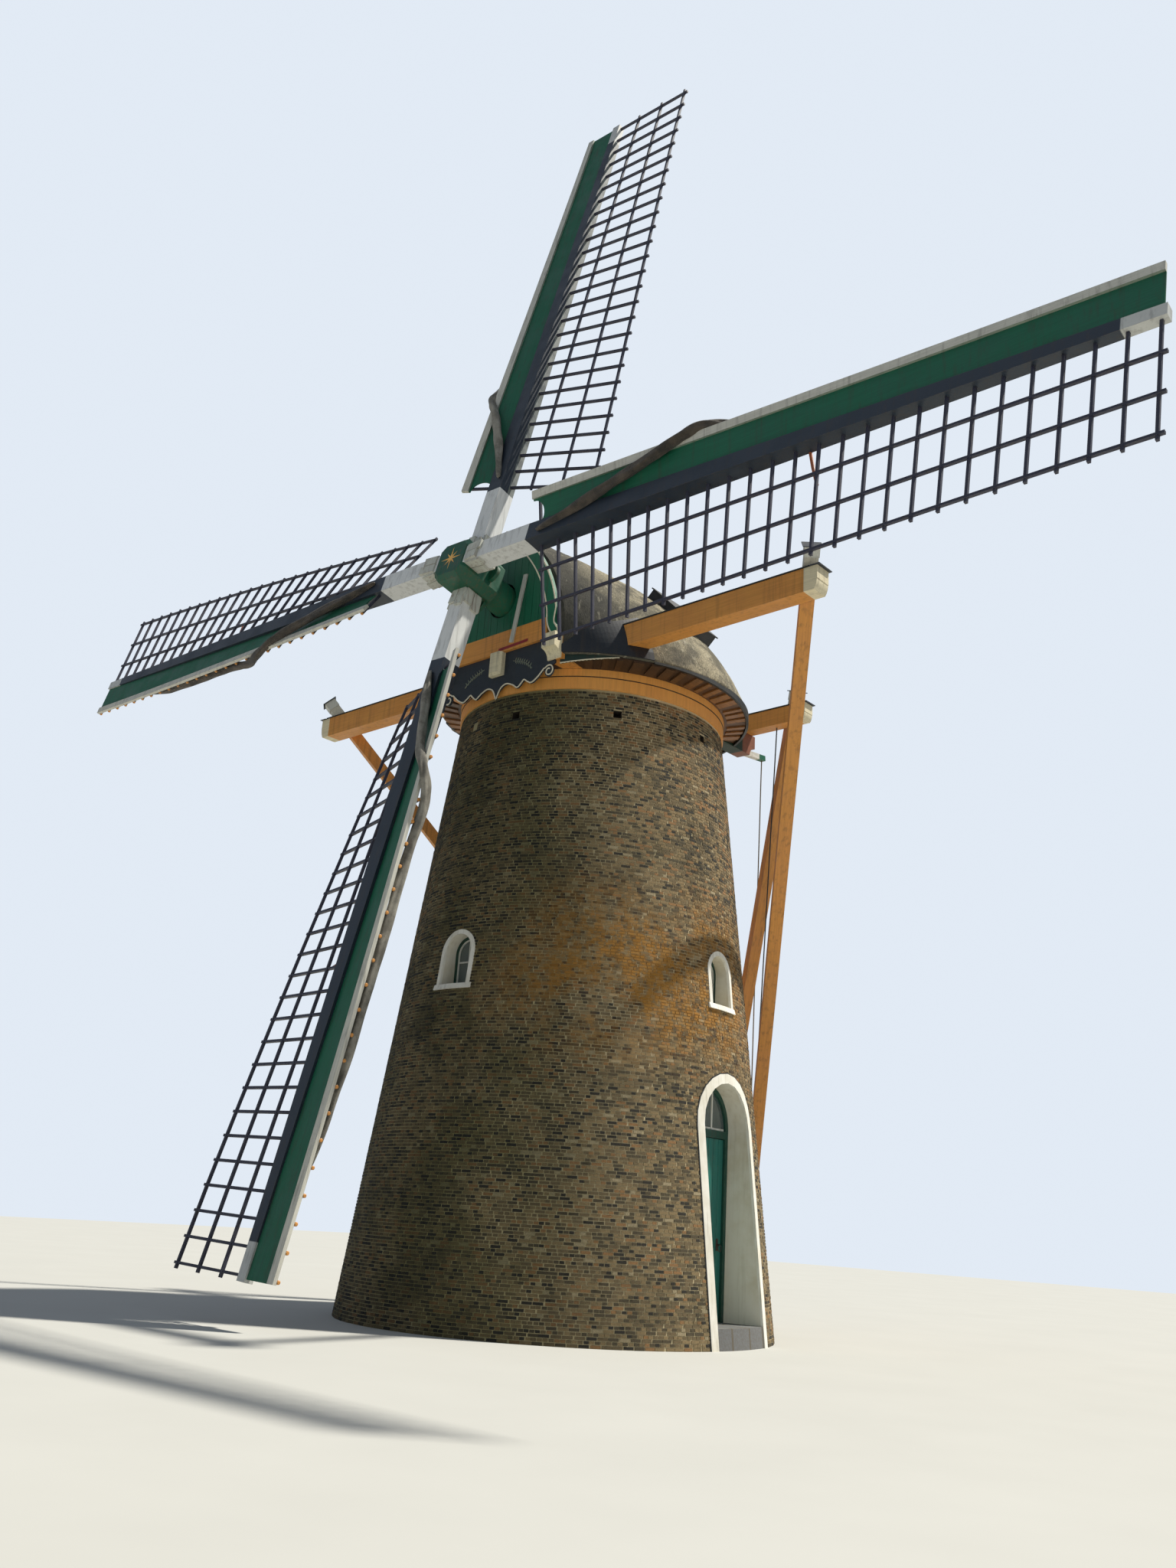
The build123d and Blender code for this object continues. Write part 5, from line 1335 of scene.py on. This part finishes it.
def on_sail(arm, r, across, depth):
    """A point on a sail's twisted surface, or at a depth in front of it."""
    b = twist(r)
    leading = across * math.cos(b) - depth * math.sin(b)
    forward = across * math.sin(b) + depth * math.cos(b)
    return arm_matrix(arm) @ Vector((r, leading, forward))


def make_bar_knobs():
    """Ochre bar ends that show behind the leading strips."""
    knobs = bmesh.new()
    for arm in ARMS:
        for i in range(BAR_COUNT):
            r = FIRST_BAR + i * BAR_PITCH
            line = [on_sail(arm, r, LEADING + out, 0.0) for out in (-0.02, 0.004, 0.012)]
            add_tube(knobs, line, lambda t: 0.031 - 0.012 * t ** 3, 8)
    to_piece("bar_ends", knobs, OCHRE_X, "sails", "ochre_timber")


def make_handles():
    """A bent red-brown handle behind the trailing side of three of the sails."""
    handles = bmesh.new()
    for arm in ("right", "left", "bottom"):
        line = [on_sail(arm, r, across, -0.1) for r, across in ((7.12, -0.06), (7.2, -0.4), (7.29, -0.71))]
        add_tube(handles, line, 0.026, 10)
    red_wood = painted_wood("red-brown handle", (176, 96, 58), (0, 0, 1), grain=0.9)
    to_piece("sail_handles", handles, red_wood, "sails", "ochre_timber")


CLOTH_ROUTES = {
    "right": [(2.1, 0.02, 0.21), (3.0, 0.20, 0.17), (4.0, 0.44, 0.15), (4.8, 0.68, 0.15), (5.3, 0.84, 0.05),
              (5.8, 0.78, -0.09), (6.6, 0.68, -0.11), (8.0, 0.65, -0.11), (9.4, 0.60, -0.11),
              (10.2, 0.45, -0.11)],
    "top": [(2.1, 0.02, 0.21), (2.9, 0.25, 0.17), (3.7, 0.55, 0.15), (4.2, 0.82, 0.08), (4.7, 0.80, -0.09),
            (5.6, 0.68, -0.11), (7.0, 0.65, -0.11), (9.0, 0.62, -0.11), (10.4, 0.50, -0.11)],
}
CLOTH_ROUTES["left"] = CLOTH_ROUTES["right"]
CLOTH_ROUTES["bottom"] = CLOTH_ROUTES["top"]


def make_cloths():
    """The four furled sail cloths: rolled, twisted canvas that crosses its board and lies behind it."""
    dark = cloth_material("dark canvas", (84, 74, 62), (44, 40, 36))
    grey = cloth_material("grey canvas", (150, 146, 134), (98, 94, 84))
    for arm, route in CLOTH_ROUTES.items():
        line = [on_sail(arm, *p) for p in smooth_line(route, 14)]
        bm = bmesh.new()
        sides = 20
        add_tube(bm, line, lambda t: 0.075 * (0.35 + 0.65 * min(1, 8 * t, 8 * (1 - t)) ** 0.5), sides)
        bm.verts.ensure_lookup_table()
        for i, centre in enumerate(line):
            for j in range(sides):
                v = bm.verts[i * sides + j]
                around = 2 * math.pi * j / sides
                run = i * 0.19
                fold = 0.16 * math.sin(3 * around + run) + 0.09 * math.sin(5 * around - 1.7 * run)
                lump = 0.18 * noise.noise(v.co * 2.3)
                v.co = centre + (v.co - centre) * (1 + fold + lump)
        uv = bm.loops.layers.uv.new("roll")
        for face in bm.faces:
            for loop in face.loops:
                index = loop.vert.index
                loop[uv].uv = ((index // sides) * 0.1, (index % sides) / sides * 0.5)
        kind, slot = (dark, "cloth_dark") if arm in ("right", "left") else (grey, "cloth_grey")
        made = to_piece(f"{arm}_furled_cloth", bm, kind, "sails", slot, smooth=True)
        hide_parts(f"{arm}_cloth")


def make_star():
    """The eight-pointed star on the hub's front."""
    star = bmesh.new()
    turn = Matrix.Rotation(SAILS_TURNED, 4, "Z")
    place = Matrix.Translation(HUB + FORWARD * (POLL_FRONT + 0.001)) @ SAIL_AXES @ turn
    made = bmesh.ops.create_circle(star, cap_ends=True, segments=16, radius=0.05, matrix=Matrix.Identity(4))
    for i, v in enumerate(made["verts"]):
        reach = 0.05 if i % 2 else (0.25 if i % 4 == 0 else 0.18)
        v.co = v.co.normalized() * reach
    bmesh.ops.solidify(star, geom=star.faces[:], thickness=0.008)
    bmesh.ops.transform(star, matrix=place, verts=star.verts[:])
    to_piece("hub_star", star, painted_wood("star paint", (244, 184, 96), wear=0.1), "sails", "ochre_timber")


make_bricks()
make_surrounds()
make_black_lines()
make_sashes()
make_door_boards()
make_thatch()
make_soffit()
make_rafters()
make_apron()
make_fascia()
make_eave_band()
make_front_planks()
make_edge_lines()
make_beard_trim()
make_beam_trim()
make_bar_knobs()
make_handles()
make_cloths()
make_star()


# Floor, light and camera

TOWARDS_LAMP = Vector((0.343, 0.409, 0.845))
CAMERA_PLACE = Vector((15.585, -17.165, 1.65))
CAMERA_AZIMUTH = 42.254
CAMERA_PITCH = 18.592
CAMERA_ROLL = 3.703
FOCAL_PIXELS = 1701.449
PICTURE_PIXELS = 2048
SENSOR = 36.0


def make_stage():
    """A plain pale floor, a broad lamp from the right rear and even light all round."""
    floor = bmesh.new()
    bmesh.ops.create_grid(floor, x_segments=1, y_segments=1, size=60.0)
    mesh = bpy.data.meshes.new("floor")
    floor.to_mesh(mesh)
    floor.free()
    made = bpy.data.objects.new("floor", mesh)
    bpy.context.scene.collection.objects.link(made)
    pale, tree, surface, point = blank_material("pale floor")
    even = over(tree, mottle(tree, point, 0.5), linear(180, 180, 174), linear(188, 188, 182))
    set_surface(tree, surface, even, 0.9)
    mesh.materials.append(pale)
    lamp = bpy.data.lights.new("lamp", "SUN")
    lamp.energy = 5.4
    lamp.angle = math.radians(2.5)
    lamp.color = (1.0, 0.95, 0.86)
    hung = bpy.data.objects.new("lamp", lamp)
    hung.rotation_euler = TOWARDS_LAMP.to_track_quat("Z", "Y").to_euler()
    bpy.context.scene.collection.objects.link(hung)
    world = bpy.data.worlds.new("studio")
    bpy.context.scene.world = world
    world.use_nodes = True
    tree = world.node_tree
    tree.nodes.clear()
    light = node(tree, "Background", {"Color": (0.74, 0.84, 1.0, 1.0), "Strength": 0.36})
    seen = node(tree, "Background", {"Color": (0.80, 0.87, 0.96, 1.0), "Strength": 0.95})
    by_camera = node(tree, "LightPath").outputs["Is Camera Ray"]
    mixed = node(tree, "MixShader", {0: by_camera, 1: light.outputs[0], 2: seen.outputs[0]})
    output = node(tree, "OutputWorld")
    tree.links.new(mixed.outputs[0], output.inputs[0])


def make_camera():
    """The camera at a standing height, right of the mill's front, looking up."""
    look, pitch, roll = (math.radians(d) for d in (CAMERA_AZIMUTH, CAMERA_PITCH, CAMERA_ROLL))
    ahead = Vector((-math.sin(look) * math.cos(pitch), math.cos(look) * math.cos(pitch), math.sin(pitch)))
    right = Vector((math.cos(look), math.sin(look), 0))
    up = right.cross(ahead)
    turned_right = right * math.cos(roll) + up * math.sin(roll)
    turned_up = -right * math.sin(roll) + up * math.cos(roll)
    lens = bpy.data.cameras.new("camera")
    lens.sensor_fit = "VERTICAL"
    lens.sensor_height = SENSOR
    lens.lens = FOCAL_PIXELS / PICTURE_PIXELS * SENSOR
    lens.clip_end = 300
    made = bpy.data.objects.new("camera", lens)
    axes = Matrix((turned_right, turned_up, -ahead)).transposed().to_4x4()
    made.matrix_world = Matrix.Translation(CAMERA_PLACE) @ axes
    bpy.context.scene.collection.objects.link(made)
    bpy.context.scene.camera = made


make_stage()
make_camera()
bpy.context.scene.view_settings.view_transform = "Standard"
